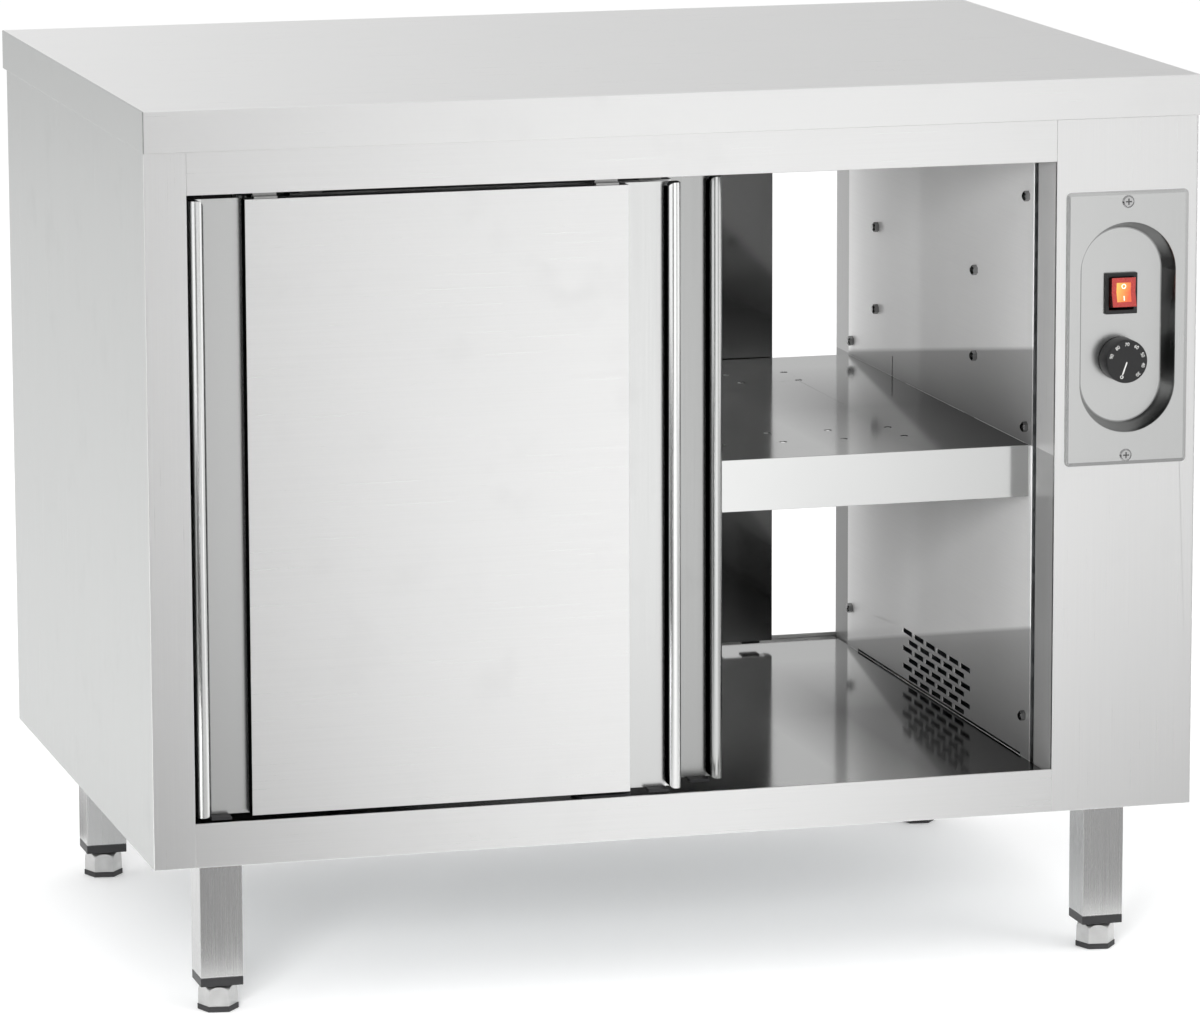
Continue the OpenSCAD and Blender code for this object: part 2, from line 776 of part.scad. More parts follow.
module fan_rotor() {
    blades = 8;
    hub_r = 10;
    disc_t = 2;
    blade_t = 1.6;
    blade_gap = 1;
    color([0.55, 0.56, 0.58]) translate([fan_x, fan_pos.x, fan_pos.y]) rotate([0, 90, 0]) {
        cylinder(r = hub_r, h = fan_w);
        translate([0, 0, fan_w - disc_t]) cylinder(r = fan_r, h = disc_t);
        for (i = [0 : blades - 1]) rotate([0, 0, i * 360 / blades])
            translate([hub_r - blade_gap, -blade_t / 2, 0])
                cube([fan_r - hub_r - 2 * blade_gap, blade_t, fan_w - disc_t / 2]);
        cylinder(r = shaft_r, h = duct_x + duct_out + motor_shaft_in - fan_x);
    }
}

// Part of a round tube bent about Y, between two corners
module tube_bend(bend_r, r, low, high) {
    intersection() {
        rotate([90, 0, 0]) rotate_extrude() translate([bend_r, 0]) circle(r = r);
        block(low, high);
    }
}

// Tubular heater: a U whose two ends turn out through the duct's wall
module heating_element() {
    wall_x = duct_x + duct_out - skin;
    bend = 16;
    pin_len = 12;
    collar_t = 2;
    r = heater_r;
    reach = heater_bend + r + 1;
    color([0.35, 0.33, 0.32]) translate([heater_x, fan_pos.x, heater_z]) {
        rotate([0, 0, 90]) tube_bend(heater_bend, r, [-reach, -reach, -reach], [reach, reach, 0]);
        for (side = [-1, 1]) translate([0, side * heater_bend, 0]) {
            cylinder(r = r, h = heater_len - bend);
            translate([bend, 0, heater_len - bend])
                tube_bend(bend, r, [-bend - r - 1, -r - 1, 0], [0, r + 1, bend + r + 1]);
            rod_x([bend, 0, heater_len], r, wall_x + pin_len - heater_x - bend);
            rod_x([wall_x - heater_x - collar_t, 0, heater_len], 2 * r, collar_t);
        }
    }
}

module terminal_block() {
    poles = 5;
    pole_w = 11;
    len = poles * pole_w;
    foot = [22, 12];
    ridge = [12, 6];
    place = [column_x + 40, rear_y - 90, pan_top];
    hole_r = 2.4;
    hole_z = 8;
    color([0.85, 0.85, 0.82]) translate(place) difference() {
        union() {
            cube([len, foot.x, foot.y]);
            translate([0, (foot.x - ridge.x) / 2, foot.y]) cube([len, ridge.x, ridge.y]);
        }
        for (i = [0 : poles - 1]) translate([(i + 0.5) * pole_w, foot.x / 2, hole_z])
            cylinder(r = hole_r, h = foot.y + ridge.y);
    }
}

module cable_gland() {
    nut_r = 12;
    collar_h = 5;
    nut_h = 4;
    inside = 12;
    body_len = 26;
    cable_r = 4;
    color([0.1, 0.1, 0.1]) translate([gland_x, rear_y, gland_z]) rotate([-90, 0, 0]) difference() {
        union() {
            translate([0, 0, -inside]) cylinder(r = gland_r, h = body_len);
            cylinder(r = nut_r, h = collar_h, $fn = 6);
            translate([0, 0, -skin - nut_h]) cylinder(r = nut_r, h = nut_h, $fn = 6);
        }
        translate([0, 0, -inside - 1]) cylinder(r = cable_r, h = body_len + 2);
    }
}

// Legs
module at_legs() {
    for (x = [-leg_x, leg_x], y = leg_ys) translate([x, y, 0]) children();
}

module legs() {
    inner = leg_w - 2 * leg_wall;
    color([0.76, 0.76, 0.77]) at_legs() {
        translate([0, 0, leg_z]) difference() {
            translate([-leg_w / 2, -leg_w / 2, 0]) cube([leg_w, leg_w, leg_len]);
            translate([-inner / 2, -inner / 2, -1]) cube([inner, inner, leg_len + 2]);
        }
        translate([-leg_plate_w / 2, -leg_plate_w / 2, base_z - leg_plate_t])
            cube([leg_plate_w, leg_plate_w, leg_plate_t]);
    }
}

module leg_inserts() {
    spigot = leg_w - 2 * leg_wall - 0.2;
    color([0.05, 0.05, 0.05]) at_legs() difference() {
        union() {
            translate([-leg_w / 2, -leg_w / 2, foot_h + part_gap]) cube([leg_w, leg_w, flange_h]);
            translate([-spigot / 2, -spigot / 2, leg_z]) cube([spigot, spigot, spigot_h]);
        }
        cylinder(r = stem_r + run_play, h = leg_z + spigot_h + 1);
    }
}

// Levelling foot: a hexagonal cup with rounded shoulders, a sole and a threaded stem
module foot(x, y) {
    corner_r = foot_w / sqrt(3);
    shoulder = 7;
    side_r = foot_w / 2 + 1.6;
    color([0.62, 0.62, 0.62]) translate([x, y, 0]) {
        rotate([0, 0, foot_turn]) {
            cylinder(r = corner_r, h = foot_base_t, $fn = 6);
            intersection() {
                translate([0, 0, foot_base_t]) cylinder(r = corner_r - 0.6, h = foot_h - foot_base_t, $fn = 6);
                union() {
                    cylinder(r1 = side_r + 1, r2 = side_r, h = foot_h - shoulder);
                    translate([0, 0, foot_h - shoulder]) cylinder(r = side_r - shoulder, h = shoulder);
                    translate([0, 0, foot_h - shoulder]) rotate_extrude()
                        translate([side_r - shoulder, 0]) circle(r = shoulder);
                }
            }
        }
        cylinder(r = stem_r, h = stem_top);
    }
}

module foot_front_left() { foot(-leg_x, leg_ys[0]); }
module foot_front_right() { foot(leg_x, leg_ys[0]); }
module foot_rear_left() { foot(-leg_x, leg_ys[1]); }
module foot_rear_right() { foot(leg_x, leg_ys[1]); }

// Doors are drawn with their left edge at x = 0, their back at y = 0 and their foot at z = 0
module grip_form(inset) {
    r = grip_r - inset;
    end_r = grip_end_r - inset;
    w = grip_w - 2 * inset;
    h = door_h - 2 * inset;
    intersection() {
        linear_extrude(door_h) translate([inset, 0]) {
            translate([0, skin]) square([w, raise - inset - r]);
            translate([r, skin]) square([w - 2 * r, raise - inset]);
            for (x = [r, w - r]) translate([x, skin + raise - inset - r]) circle(r = r);
        }
        translate([inset, 0, inset]) rotate([90, 0, 0]) mirror([0, 0, 1]) linear_extrude(door_t) {
            square([w - end_r, h]);
            translate([0, end_r]) square([w, h - 2 * end_r]);
            for (z = [end_r, h - end_r]) translate([w - end_r, z]) circle(r = end_r);
        }
    }
}

module door_grip() {
    difference() {
        grip_form(0);
        grip_form(skin);
    }
}

module door_back() {
    color([0.74, 0.75, 0.76]) mirror([0, 1, 0]) {
        cube([door_w, skin, door_h]);
        door_grip();
        translate([door_w, 0, 0]) mirror([1, 0, 0]) door_grip();
    }
}

module door_panel() {
    w = door_w - 2 * panel_x;
    color([0.86, 0.87, 0.87]) translate([panel_x, -door_t, 0]) difference() {
        cube([w, raise, door_h]);
        translate([skin, skin, skin]) cube([w - 2 * skin, raise, door_h - 2 * skin]);
    }
}

module door_hangers() {
    mid_y = -door_t / 2;
    color([0.62, 0.63, 0.64]) for (side = [-1, 1])
        translate([door_w / 2 + side * hanger_pitch / 2, mid_y, 0]) {
            translate([-hanger_w / 2, -hanger_foot / 2, door_h]) cube([hanger_w, hanger_foot, hanger_t]);
            translate([-hanger_w / 2, -hanger_t / 2, door_h]) cube([hanger_w, hanger_t, hanger_rise]);
            rod_y([0, -roller_y - roller_t - part_gap, roller_z - door_z], axle_r,
                roller_y + roller_t + part_gap);
        }
}

module door_roller(side) {
    r = roller_r;
    rim = 0.6;
    translate([door_w / 2 + side * hanger_pitch / 2, -door_t / 2 - roller_y, roller_z - door_z])
        color([0.9, 0.9, 0.86]) rotate([90, 0, 0]) rotate_extrude()
            polygon([[axle_r + run_play, 0], [r - rim, 0], [r, rim], [r, roller_t - rim],
                [r - rim, roller_t], [axle_r + run_play, roller_t]]);
}

module at_door(rear, lane, x) {
    at_side(rear) translate([x, lane_back + lane * track_pitch, door_z]) children();
}

module front_outer_back() { at_door(false, 0, door_left) door_back(); }
module front_outer_panel() { at_door(false, 0, door_left) door_panel(); }
module front_outer_hangers() { at_door(false, 0, door_left) door_hangers(); }
module front_outer_roller_left() { at_door(false, 0, door_left) door_roller(-1); }
module front_outer_roller_right() { at_door(false, 0, door_left) door_roller(1); }
module front_inner_back() { at_door(false, 1, front_inner_x) door_back(); }
module front_inner_panel() { at_door(false, 1, front_inner_x) door_panel(); }
module front_inner_hangers() { at_door(false, 1, front_inner_x) door_hangers(); }
module front_inner_roller_left() { at_door(false, 1, front_inner_x) door_roller(-1); }
module front_inner_roller_right() { at_door(false, 1, front_inner_x) door_roller(1); }
module rear_inner_back() { at_door(true, 1, rear_inner_x) door_back(); }
module rear_inner_panel() { at_door(true, 1, rear_inner_x) door_panel(); }
module rear_inner_hangers() { at_door(true, 1, rear_inner_x) door_hangers(); }
module rear_inner_roller_left() { at_door(true, 1, rear_inner_x) door_roller(-1); }
module rear_inner_roller_right() { at_door(true, 1, rear_inner_x) door_roller(1); }
module rear_outer_back() { at_door(true, 0, door_left) door_back(); }
module rear_outer_panel() { at_door(true, 0, door_left) door_panel(); }
module rear_outer_hangers() { at_door(true, 0, door_left) door_hangers(); }
module rear_outer_roller_left() { at_door(true, 0, door_left) door_roller(-1); }
module rear_outer_roller_right() { at_door(true, 0, door_left) door_roller(1); }

worktop();
worktop_core();
worktop_stiffeners();
side_left();
liner_left();
side_right();
column_front();
column_rear();
column_uprights();
liner_right();
wall_bolts();
top_rails();
bottom_rails();
cabinet_floor();
floor_bearers();
bottom_pan();
ceiling_panel();
door_tracks();
door_guides();
shelf();
control_plate();
plate_screws();
switch_housing();
switch_rocker();
thermostat_body();
thermostat_sensor();
knob();
thermostat_shaft();
air_duct();
fan_motor();
fan_rotor();
heating_element();
terminal_block();
cable_gland();
legs();
leg_inserts();
foot_front_left();
foot_front_right();
foot_rear_left();
foot_rear_right();
front_outer_back();
front_outer_panel();
front_outer_hangers();
front_outer_roller_left();
front_outer_roller_right();
front_inner_back();
front_inner_panel();
front_inner_hangers();
front_inner_roller_left();
front_inner_roller_right();
rear_inner_back();
rear_inner_panel();
rear_inner_hangers();
rear_inner_roller_left();
rear_inner_roller_right();
rear_outer_back();
rear_outer_panel();
rear_outer_hangers();
rear_outer_roller_left();
rear_outer_roller_right();
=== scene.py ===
import json
import math

import bmesh
import bpy
from bpy.props import FloatProperty, FloatVectorProperty, IntProperty, PointerProperty
from mathutils import Matrix, Vector


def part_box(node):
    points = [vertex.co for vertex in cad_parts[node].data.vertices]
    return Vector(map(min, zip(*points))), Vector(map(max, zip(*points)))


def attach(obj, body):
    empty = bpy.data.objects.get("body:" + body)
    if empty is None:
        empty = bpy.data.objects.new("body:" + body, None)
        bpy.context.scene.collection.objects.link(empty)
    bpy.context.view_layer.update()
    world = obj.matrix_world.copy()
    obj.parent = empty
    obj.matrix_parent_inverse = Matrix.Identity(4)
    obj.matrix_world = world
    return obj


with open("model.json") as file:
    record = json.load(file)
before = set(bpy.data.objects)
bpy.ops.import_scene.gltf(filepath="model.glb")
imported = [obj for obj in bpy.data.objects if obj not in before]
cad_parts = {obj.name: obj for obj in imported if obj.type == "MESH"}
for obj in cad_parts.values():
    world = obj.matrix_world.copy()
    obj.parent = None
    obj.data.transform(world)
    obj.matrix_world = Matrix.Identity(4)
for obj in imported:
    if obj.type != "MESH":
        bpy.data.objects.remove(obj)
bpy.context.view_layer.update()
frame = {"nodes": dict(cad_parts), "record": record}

bl_info = {
    "name": "Plate warmer cabinet",
    "version": (1, 0, 0),
    "blender": (4, 5, 0),
    "location": "3D View > Sidebar > Cabinet",
    "description": "Finishes, printed marks and studio for a stainless plate warmer cabinet",
    "category": "Object",
}

MM = 0.001
IMAGE_WIDTH = 1200
DOORS = ("front_outer", "front_inner", "rear_inner", "rear_outer")
FEET = ("foot_front_left", "foot_front_right", "foot_rear_left", "foot_rear_right")
ALONG_X, ALONG_Z = (1, 0, 0), (0, 0, 1)
BLACK, WHITE = (0.0, 0.0, 0.0), (1.0, 1.0, 1.0)

# Brush lines per metre, across the grain
FINE_GRAIN, BROAD_GRAIN = 1700.0, 620.0

# Depth behind the foremost face of a sheet within which its fold ends
FOLD_DEPTH = 1.3 * MM

# How far the ends and the dished middle of the rocker stand out from its pivot, how high an
# end is, and the tilt that the rocker is made at
ROCKER_END, ROCKER_MIDDLE, ROCKER_TIP = 18 * MM, 15.5 * MM, 13.6 * MM
ROCKER_TILT = math.radians(-7)

# Soft lamps: name, place, the point each one faces, width and watts
LAMPS = (("top_softbox", (0.4, -0.6, 3.6), (0, 0, 0.6), 3.4, 26),
         ("side_softbox", (2.9, -2.9, 2.3), (0.1, 0, 0.5), 2.2, 34),
         ("door_softbox", (-1.6, -3.4, 1.1), (0.35, 0, 0.45), 1.2, 135))


# Settings

def colour(name, description, value):
    return FloatVectorProperty(name=name, description=description, default=value,
                               subtype="COLOR", size=3, min=0, max=1)


def length(name, description, value):
    return FloatProperty(name=name, description=description, default=value,
                         subtype="DISTANCE", unit="LENGTH")


def angle(name, description, degrees):
    return FloatProperty(name=name, description=description, default=math.radians(degrees),
                         subtype="ANGLE", unit="ROTATION")


def factor(name, description, value):
    return FloatProperty(name=name, description=description, default=value,
                         subtype="FACTOR", min=0, max=1)


class CabinetSteel(bpy.types.PropertyGroup):
    """Colours and roughness of the steel sheets."""

    worktop: colour("Worktop", "Colour of the worktop sheet", (0.95, 0.95, 0.945))
    fronts: colour("Fronts", "Colour of the rails, the raised door panels and the column",
                   (0.94, 0.94, 0.935))
    # Painted shade: the side panels are the same steel as the fronts, given a darker colour.
    sides: colour("Sides", "Colour of the side panels", (0.455, 0.465, 0.458))
    plate: colour("Control plate", "Colour of the control plate", (0.70, 0.705, 0.70))
    strips: colour("Door strips", "Colour of the back sheets and grips of the outer doors",
                   (0.72, 0.725, 0.72))
    # Painted shade: the doors behind get darker back sheets than the outer doors.
    shaded_deep_strips: colour("Deep strips", "Colour of the back sheets of the doors behind",
                        (0.46, 0.465, 0.46))
    legs: colour("Legs", "Colour of the leg tubes", (0.57, 0.57, 0.567))
    wall: colour("Wall", "Colour of the dull heated wall", (1.0, 1.0, 0.995))
    lining: colour("Lining", "Colour of the bright shelf and floor", (0.56, 0.565, 0.56))
    # Painted light: the shelf's lip is the shelf's steel given a lighter colour.
    lip: colour("Shelf lip", "Colour of the shelf's front lip", (0.70, 0.705, 0.70))
    # Painted shade: the mirror back of the rear doors is given a dark colour.
    shaded_door_lining: colour("Door lining", "Colour of the mirror-rolled back of the rear doors",
                        (0.17, 0.171, 0.17))
    hidden: colour("Hidden steel", "Colour of the galvanised parts behind the sheets",
                   (0.52, 0.54, 0.55))
    outside_roughness: factor("Outside roughness", "Roughness of the brushed sheets", 0.30)
    lining_roughness: factor("Lining roughness", "Roughness of the bright sheets", 0.10)
    fold_radius: length("Fold radius", "Rounding of the folded edges", 0.8 * MM)


class CabinetPlastics(bpy.types.PropertyGroup):
    """Colours of the plastic parts."""

    bezel: colour("Bezel", "Colour of the switch housing", (0.009, 0.009, 0.0095))
    knob: colour("Knob", "Colour of the thermostat knob", (0.008, 0.008, 0.0085))
    inserts: colour("Inserts", "Colour of the inserts in the legs", (0.014, 0.014, 0.015))
    guides: colour("Guides", "Colour of the door guides", (0.02, 0.02, 0.022))
    pads: colour("Pads", "Colour of the pads below the doors", (0.012, 0.012, 0.013))
    rollers: colour("Rollers", "Colour of the door rollers", (0.78, 0.77, 0.72))
    gland: colour("Gland", "Colour of the cable gland", (0.02, 0.02, 0.021))
    devices: colour("Devices", "Colour of the thermostat and the terminals", (0.55, 0.5, 0.42))


class CabinetKnob(bpy.types.PropertyGroup):
    """Print on the thermostat knob."""

    low: IntProperty(name="Lowest number", description="First number on the knob, in degrees",
                     default=30)
    step: IntProperty(name="Step", description="Difference between two numbers", default=10)
    count: IntProperty(name="Count", description="How many numbers the knob has", default=7)
    start: angle("First angle", "Angle of the first number, from the right", -48)
    pitch: angle("Pitch", "Angle between two numbers", 34.7)
    pointer: angle("Pointer", "Angle of the pointer, from the right", 250)
    ring: length("Ring radius", "Distance of the numbers from the knob's middle", 16.2 * MM)
    height: length("Number height", "Height of the printed numbers", 4.6 * MM)


class CabinetSwitch(bpy.types.PropertyGroup):
    """Lit window of the rocker switch."""

    red: colour("Rocker", "Colour of the rocker", (0.26, 0.022, 0.018))
    glow: colour("Glow", "Colour of the lamp behind the window", (1.0, 0.60, 0.10))
    window_width: length("Window width", "Width of the lit window", 14 * MM)
    window_height: length("Window height", "Height of the lit window", 18 * MM)


class CabinetStudio(bpy.types.PropertyGroup):
    """Camera and light."""

    place: FloatVectorProperty(name="Camera", description="Where the camera stands",
                               default=(-1.6374, -6.0487, 1.5453), subtype="XYZ", unit="LENGTH")
    turn: angle("Turn", "How far the camera looks to the right of straight ahead", 15.288)
    dip: angle("Dip", "How far the camera looks down", 10.395)
    roll: angle("Roll", "Roll of the camera", -0.183)
    focal_pixels: FloatProperty(name="Focal length", default=6564.8, min=100,
                                description="Focal length in pixels of the photograph's frame")
    sky: factor("Sky", "Brightness of the surroundings", 0.95)
    flag: factor("Flag", "Brightness of the dark flag beside the camera", 0.03)


# Shader helpers

class Num:
    """A socket with a number in it. Python's operators on it add Math nodes."""

    def __init__(self, finish, socket):
        self.finish, self.socket = finish, socket

    def _math(self, operation, *values):
        made = self.finish.node("ShaderNodeMath", {"operation": operation}, dict(enumerate(values)))
        return Num(self.finish, made.outputs[0])

    def __add__(self, other):
        return self._math("ADD", self, other)

    def __sub__(self, other):
        return self._math("SUBTRACT", self, other)

    def __rsub__(self, other):
        return self._math("SUBTRACT", other, self)

    def __mul__(self, other):
        return self._math("MULTIPLY", self, other)

    def __truediv__(self, other):
        return self._math("DIVIDE", self, other)

    def __gt__(self, other):
        return self._math("GREATER_THAN", self, other)

    def __lt__(self, other):
        return self._math("LESS_THAN", self, other)

    __radd__ = __add__
    __rmul__ = __mul__

    def __pow__(self, other):
        return self._math("POWER", self, other)

    def __abs__(self):
        return self._math("ABSOLUTE", self)

    def sin(self):
        return self._math("SINE", self)

    def clamp(self):
        return self._math("MINIMUM", self._math("MAXIMUM", self, 0.0), 1.0)


class Nodes:
    """A node tree that is filled by one method."""

    def __init__(self, owner):
        owner.use_nodes = True
        self.tree = owner.node_tree
        self.tree.nodes.clear()

    def node(self, kind, settings=None, values=None):
        """Add a node, set its settings, then fill or link its sockets."""
        made = self.tree.nodes.new(kind)
        for key, value in (settings or {}).items():
            if key == "stops":
                self.set_stops(made.color_ramp, value)
            else:
                setattr(made, key, value)
        for key, value in (values or {}).items():
            self.feed(made.inputs[key], value)
        return made

    @staticmethod
    def set_stops(ramp, stops):
        """Give a ramp its stops, each a position and a grey."""
        while len(ramp.elements) < len(stops):
            ramp.elements.new(0.5)
        for element, (position, grey) in zip(ramp.elements, stops):
            element.position = position
            element.color = (grey, grey, grey, 1)

    def feed(self, socket, value):
        """Link a socket to another, or give it a plain value."""
        if isinstance(value, Num):
            value = value.socket
        if isinstance(value, bpy.types.NodeSocket):
            self.tree.links.new(value, socket)
        elif socket.type == "RGBA" and len(value) == 3:
            socket.default_value = (*value, 1)
        else:
            socket.default_value = value


class Finish(Nodes):
    """A node material that ends in one Principled shader."""

    def __init__(self, name, metallic=0.0, roughness=0.5, coat=0.0, specular=0.5, grazing=1.0):
        self.material = bpy.data.materials.new(name)
        super().__init__(self.material)
        self.shader = self.node("ShaderNodeBsdfPrincipled", values={
            "Metallic": metallic, "Roughness": roughness, "Coat Weight": coat,
            "Specular IOR Level": specular, "Specular Tint": (grazing, grazing, grazing)})
        self.node("ShaderNodeOutputMaterial", values={"Surface": self.shader.outputs[0]})

    def place(self):
        """Where a point lies on the piece, in metres of the cabinet's own frame."""
        return self.node("ShaderNodeTexCoord").outputs["Object"]

    def axes(self):
        """The place as three numbers."""
        split = self.node("ShaderNodeSeparateXYZ", values={0: self.place()})
        return [Num(self, socket) for socket in split.outputs]

    def normals(self):
        """The direction that a face looks in, as three numbers."""
        found = self.node("ShaderNodeTexCoord").outputs["Normal"]
        split = self.node("ShaderNodeSeparateXYZ", values={0: found})
        return [Num(self, socket) for socket in split.outputs]

    def stretched(self, per_metre):
        return self.node("ShaderNodeVectorMath", {"operation": "MULTIPLY"},
                         {0: self.place(), 1: per_metre}).outputs[0]

    def noise(self, per_metre, detail=2.0, rough=0.5):
        """Noise from 0 to 1 with its own count of features per metre on each axis."""
        made = self.node("ShaderNodeTexNoise", values={
            "Vector": self.stretched(per_metre), "Scale": 1.0, "Detail": detail, "Roughness": rough})
        return Num(self, made.outputs["Fac"])

    def blend(self, share, first, second):
        """First colour where share is 0, second colour where it is 1."""
        made = self.node("ShaderNodeMix", {"data_type": "RGBA"}, {0: share, 6: first, 7: second})
        return made.outputs[2]

    def greys(self, share, *stops):
        """Grey that runs through stops, each a position and a grey, as share goes from 0 to 1."""
        return self.node("ShaderNodeValToRGB", {"stops": stops}, {0: share.clamp()}).outputs[0]

    def scale_colour(self, shade, by):
        """Colour times a number."""
        grey = self.node("ShaderNodeCombineXYZ", values={0: by, 1: by, 2: by}).outputs[0]
        made = self.node("ShaderNodeMix", {"data_type": "RGBA", "blend_type": "MULTIPLY"},
                         {0: 1.0, 6: shade, 7: grey})
        return made.outputs[2]

    def bump(self, height, strength, distance):
        made = self.node("ShaderNodeBump", values={
            "Height": height, "Strength": strength, "Distance": distance})
        self.feed(self.shader.inputs["Normal"], made.outputs[0])

    def set(self, **inputs):
        """Feed the shader's inputs, named with _ for a space."""
        for key, value in inputs.items():
            self.feed(self.shader.inputs[key.replace("_", " ")], value)
        return self


def grain_counts(along, across):
    """Features per metre of a brushed grain: few along it and many across it."""
    return tuple(7.0 if part else across for part in along)


def jamb_painted_shade(x, y, z, corner, shelf_top):
    """The unbrushed return of the column: where it is, and the painted shade along and across it."""
    bare = (x < corner[0]) * (y > corner[1])
    # Painted shade: darker along the front fold and below the shelf.
    fold = (y < corner[1] + 1.6 * MM) * 0.40
    below = (z < shelf_top) * 0.20
    return bare, 1.0 - bare * (0.50 + below + fold).clamp()


def groove_tone(x, y, z, face_y, box):
    """Shade in the recess of the control plate, and round the edge of its floor."""
    low, high = box
    floor_depth, wall_width, rim_width = 1.2 * MM, 6.6 * MM, 1.6 * MM
    radius = (high[0] - low[0]) / 2
    straight = (high[2] - low[2]) / 2 - radius
    across = x - (low[0] + high[0]) / 2
    along = (abs(z - (low[2] + high[2]) / 2) - straight).clamp()
    reach = (across * across + along * along) ** 0.5
    rim_end = radius - wall_width
    wall = (y > face_y + floor_depth) * (reach > rim_end)
    rim = (reach > rim_end - rim_width) * (reach < rim_end)
    return (1.0 - wall * 0.62) * (1.0 - rim * 0.38)


def brushed(name, shade, along, roughness, grain_depth=0.10, shaded_side=None, faces=(),
            jamb=None, groove=None, grips=None):
    """Brushed sheet: fine grain, faint clouds from rolling, and handling marks.

    shaded_side is the x from which faces that look to the left lie in the shade of their
    neighbours, and how deep that painted shade is. faces lists an axis, the limit below which a
    face lies, and the lighter or darker colour painted on it as light or shade. jamb and groove
    describe the column's return and the recess, where shade is painted. grips gives the middle of
    a door, how far out its grips begin, and how much painted light brightens them.
    """
    # A near-black grazing tint on sheets with a shaded side deepens that painted shade.
    finish = Finish(name, metallic=1.0, roughness=roughness, grazing=0.05 if shaded_side else 1.0)
    fine = finish.noise(grain_counts(along, FINE_GRAIN), detail=3.0)
    broad = finish.noise(grain_counts(along, BROAD_GRAIN), detail=2.0)
    grain = fine * 0.7 + broad * 0.3
    cloud = finish.noise((2.6, 2.6, 2.6), detail=3.0, rough=0.6)
    marks = (finish.noise((14.0, 14.0, 14.0), detail=5.0, rough=0.65) - 0.56).clamp() * 2.0
    tone = 1.0 + (grain - 0.5) * grain_depth + (cloud - 0.5) * 0.04 - marks * 0.03
    x, y, z = finish.axes()
    if shaded_side is not None:
        leftward = ((0.0 - finish.normals()[0] - 0.72) * 6.0).clamp()
        tone = tone * (1.0 - leftward * (x > shaded_side[0]) * shaded_side[1])
    # Painted light: the grips at the door's two ends are brightened.
    if grips is not None:
        tone = tone * (1.0 + (abs(x - grips[0]) > grips[1]) * grips[2])
    # Painted shade on the column's return.
    if jamb is not None:
        bare, painted_jamb_shade = jamb_painted_shade(x, y, z, *jamb)
        finish.set(Metallic=1.0 - bare * 0.8)
        tone = tone * painted_jamb_shade
    # Painted shade in the recess, and on the plate's faces that turn sideways near its face.
    if groove is not None:
        nx, _, nz = finish.normals()
        bevel = ((abs(nx) + abs(nz) - 0.1) * 4.0).clamp() * (y < groove[0] + 1.2 * MM)
        tone = tone * groove_tone(x, y, z, *groove) * (1.0 - bevel * 0.16)
    # Painted light and shade: chosen faces take a lighter or darker colour.
    for axis, limit, own in faces:
        shade = finish.blend((x, y, z)[axis] < limit, shade, own)
    finish.set(Base_Color=finish.scale_colour(shade, tone),
               Roughness=roughness + (grain - 0.5) * 0.16 + marks * 0.08)
    finish.bump(grain, grain_depth * 2.0, 0.05 * MM)
    return finish


def dull_rolled(name, shade, ledges):
    """Dull-rolled sheet: even grey with a soft sheen, rolling lines and faint stains.

    ledges lists the heights above which the sheet lies in painted shade, deepest near the front,
    and how steeply the top of that shade climbs towards the front. The sheet is also painted
    darker towards the front.
    """
    finish = Finish(name, metallic=0.25, roughness=0.42, coat=0.16)
    _, y, z = finish.axes()
    far_end, least = 300 * MM, 4 * MM
    # Painted shade: darker towards the front.
    tone = 1.0 - (0.0 - y * 2.2 - 0.1).clamp() * 0.38
    # Painted shade above the shelf and the floor, deepest near the front.
    for ledge, climb in ledges:
        reach = (far_end - y) * climb + least
        above = z - ledge
        depth = 0.52 + (1.0 - above / reach) * 0.24
        tone = tone * (1.0 - (above > 0.0) * ((reach - above) * 220.0).clamp() * depth)
    lines = finish.noise((6.0, 6.0, 900.0), detail=3.0)
    stain = finish.noise((9.0, 5.0, 7.0), detail=5.0, rough=0.6)
    tone = tone * (0.97 + (lines - 0.5) * 0.06 + (stain - 0.5) * 0.08)
    finish.set(Base_Color=finish.scale_colour(shade, tone),
               Roughness=0.36 + stain * 0.14)
    finish.bump(lines, 0.15, 0.05 * MM)
    return finish


def bright(name, shade, roughness, front=None, walls=None):
    """Bright-rolled sheet: near mirror, with hairline scratches and wiped smears.

    front is the y below which a lip faces the light, and its colour. walls gives the x of the
    left and right wall, whose shade falls on the sheet.
    """
    finish = Finish(name, metallic=1.0, roughness=roughness)
    hair = (finish.noise((30.0, 260.0, 900.0), detail=4.0) - 0.60).clamp() * 3.0
    cross = (finish.noise((700.0, 22.0, 240.0), detail=4.0) - 0.62).clamp() * 3.0
    smear = finish.noise((5.0, 3.0, 7.0), detail=4.0, rough=0.6)
    tone = 1.0 - (hair + cross) * 0.06 + (smear - 0.5) * 0.05
    x, y, _ = finish.axes()
    if walls is not None:
        half, middle = (walls[1] - walls[0]) / 2, (walls[0] + walls[1]) / 2
        shade_width, shade_end = 190 * MM, 220 * MM
        near = 1.0 - (half - abs(x - middle)) / shade_width
        tone = tone * (1.0 - (near * 2.2).clamp() * ((shade_end - y) * 4.0).clamp() * 0.88)
    if front is not None:
        lip = y < front[0]
        shade = finish.blend(lip, shade, front[1])
        tone = lip + (1.0 - lip) * tone
    finish.set(Base_Color=finish.scale_colour(shade, tone),
               Roughness=roughness + (hair + cross) * 0.10 + (smear - 0.45).clamp() * 0.10)
    finish.bump(smear * 0.6 + hair * 0.1, 0.12, 0.2 * MM)
    return finish


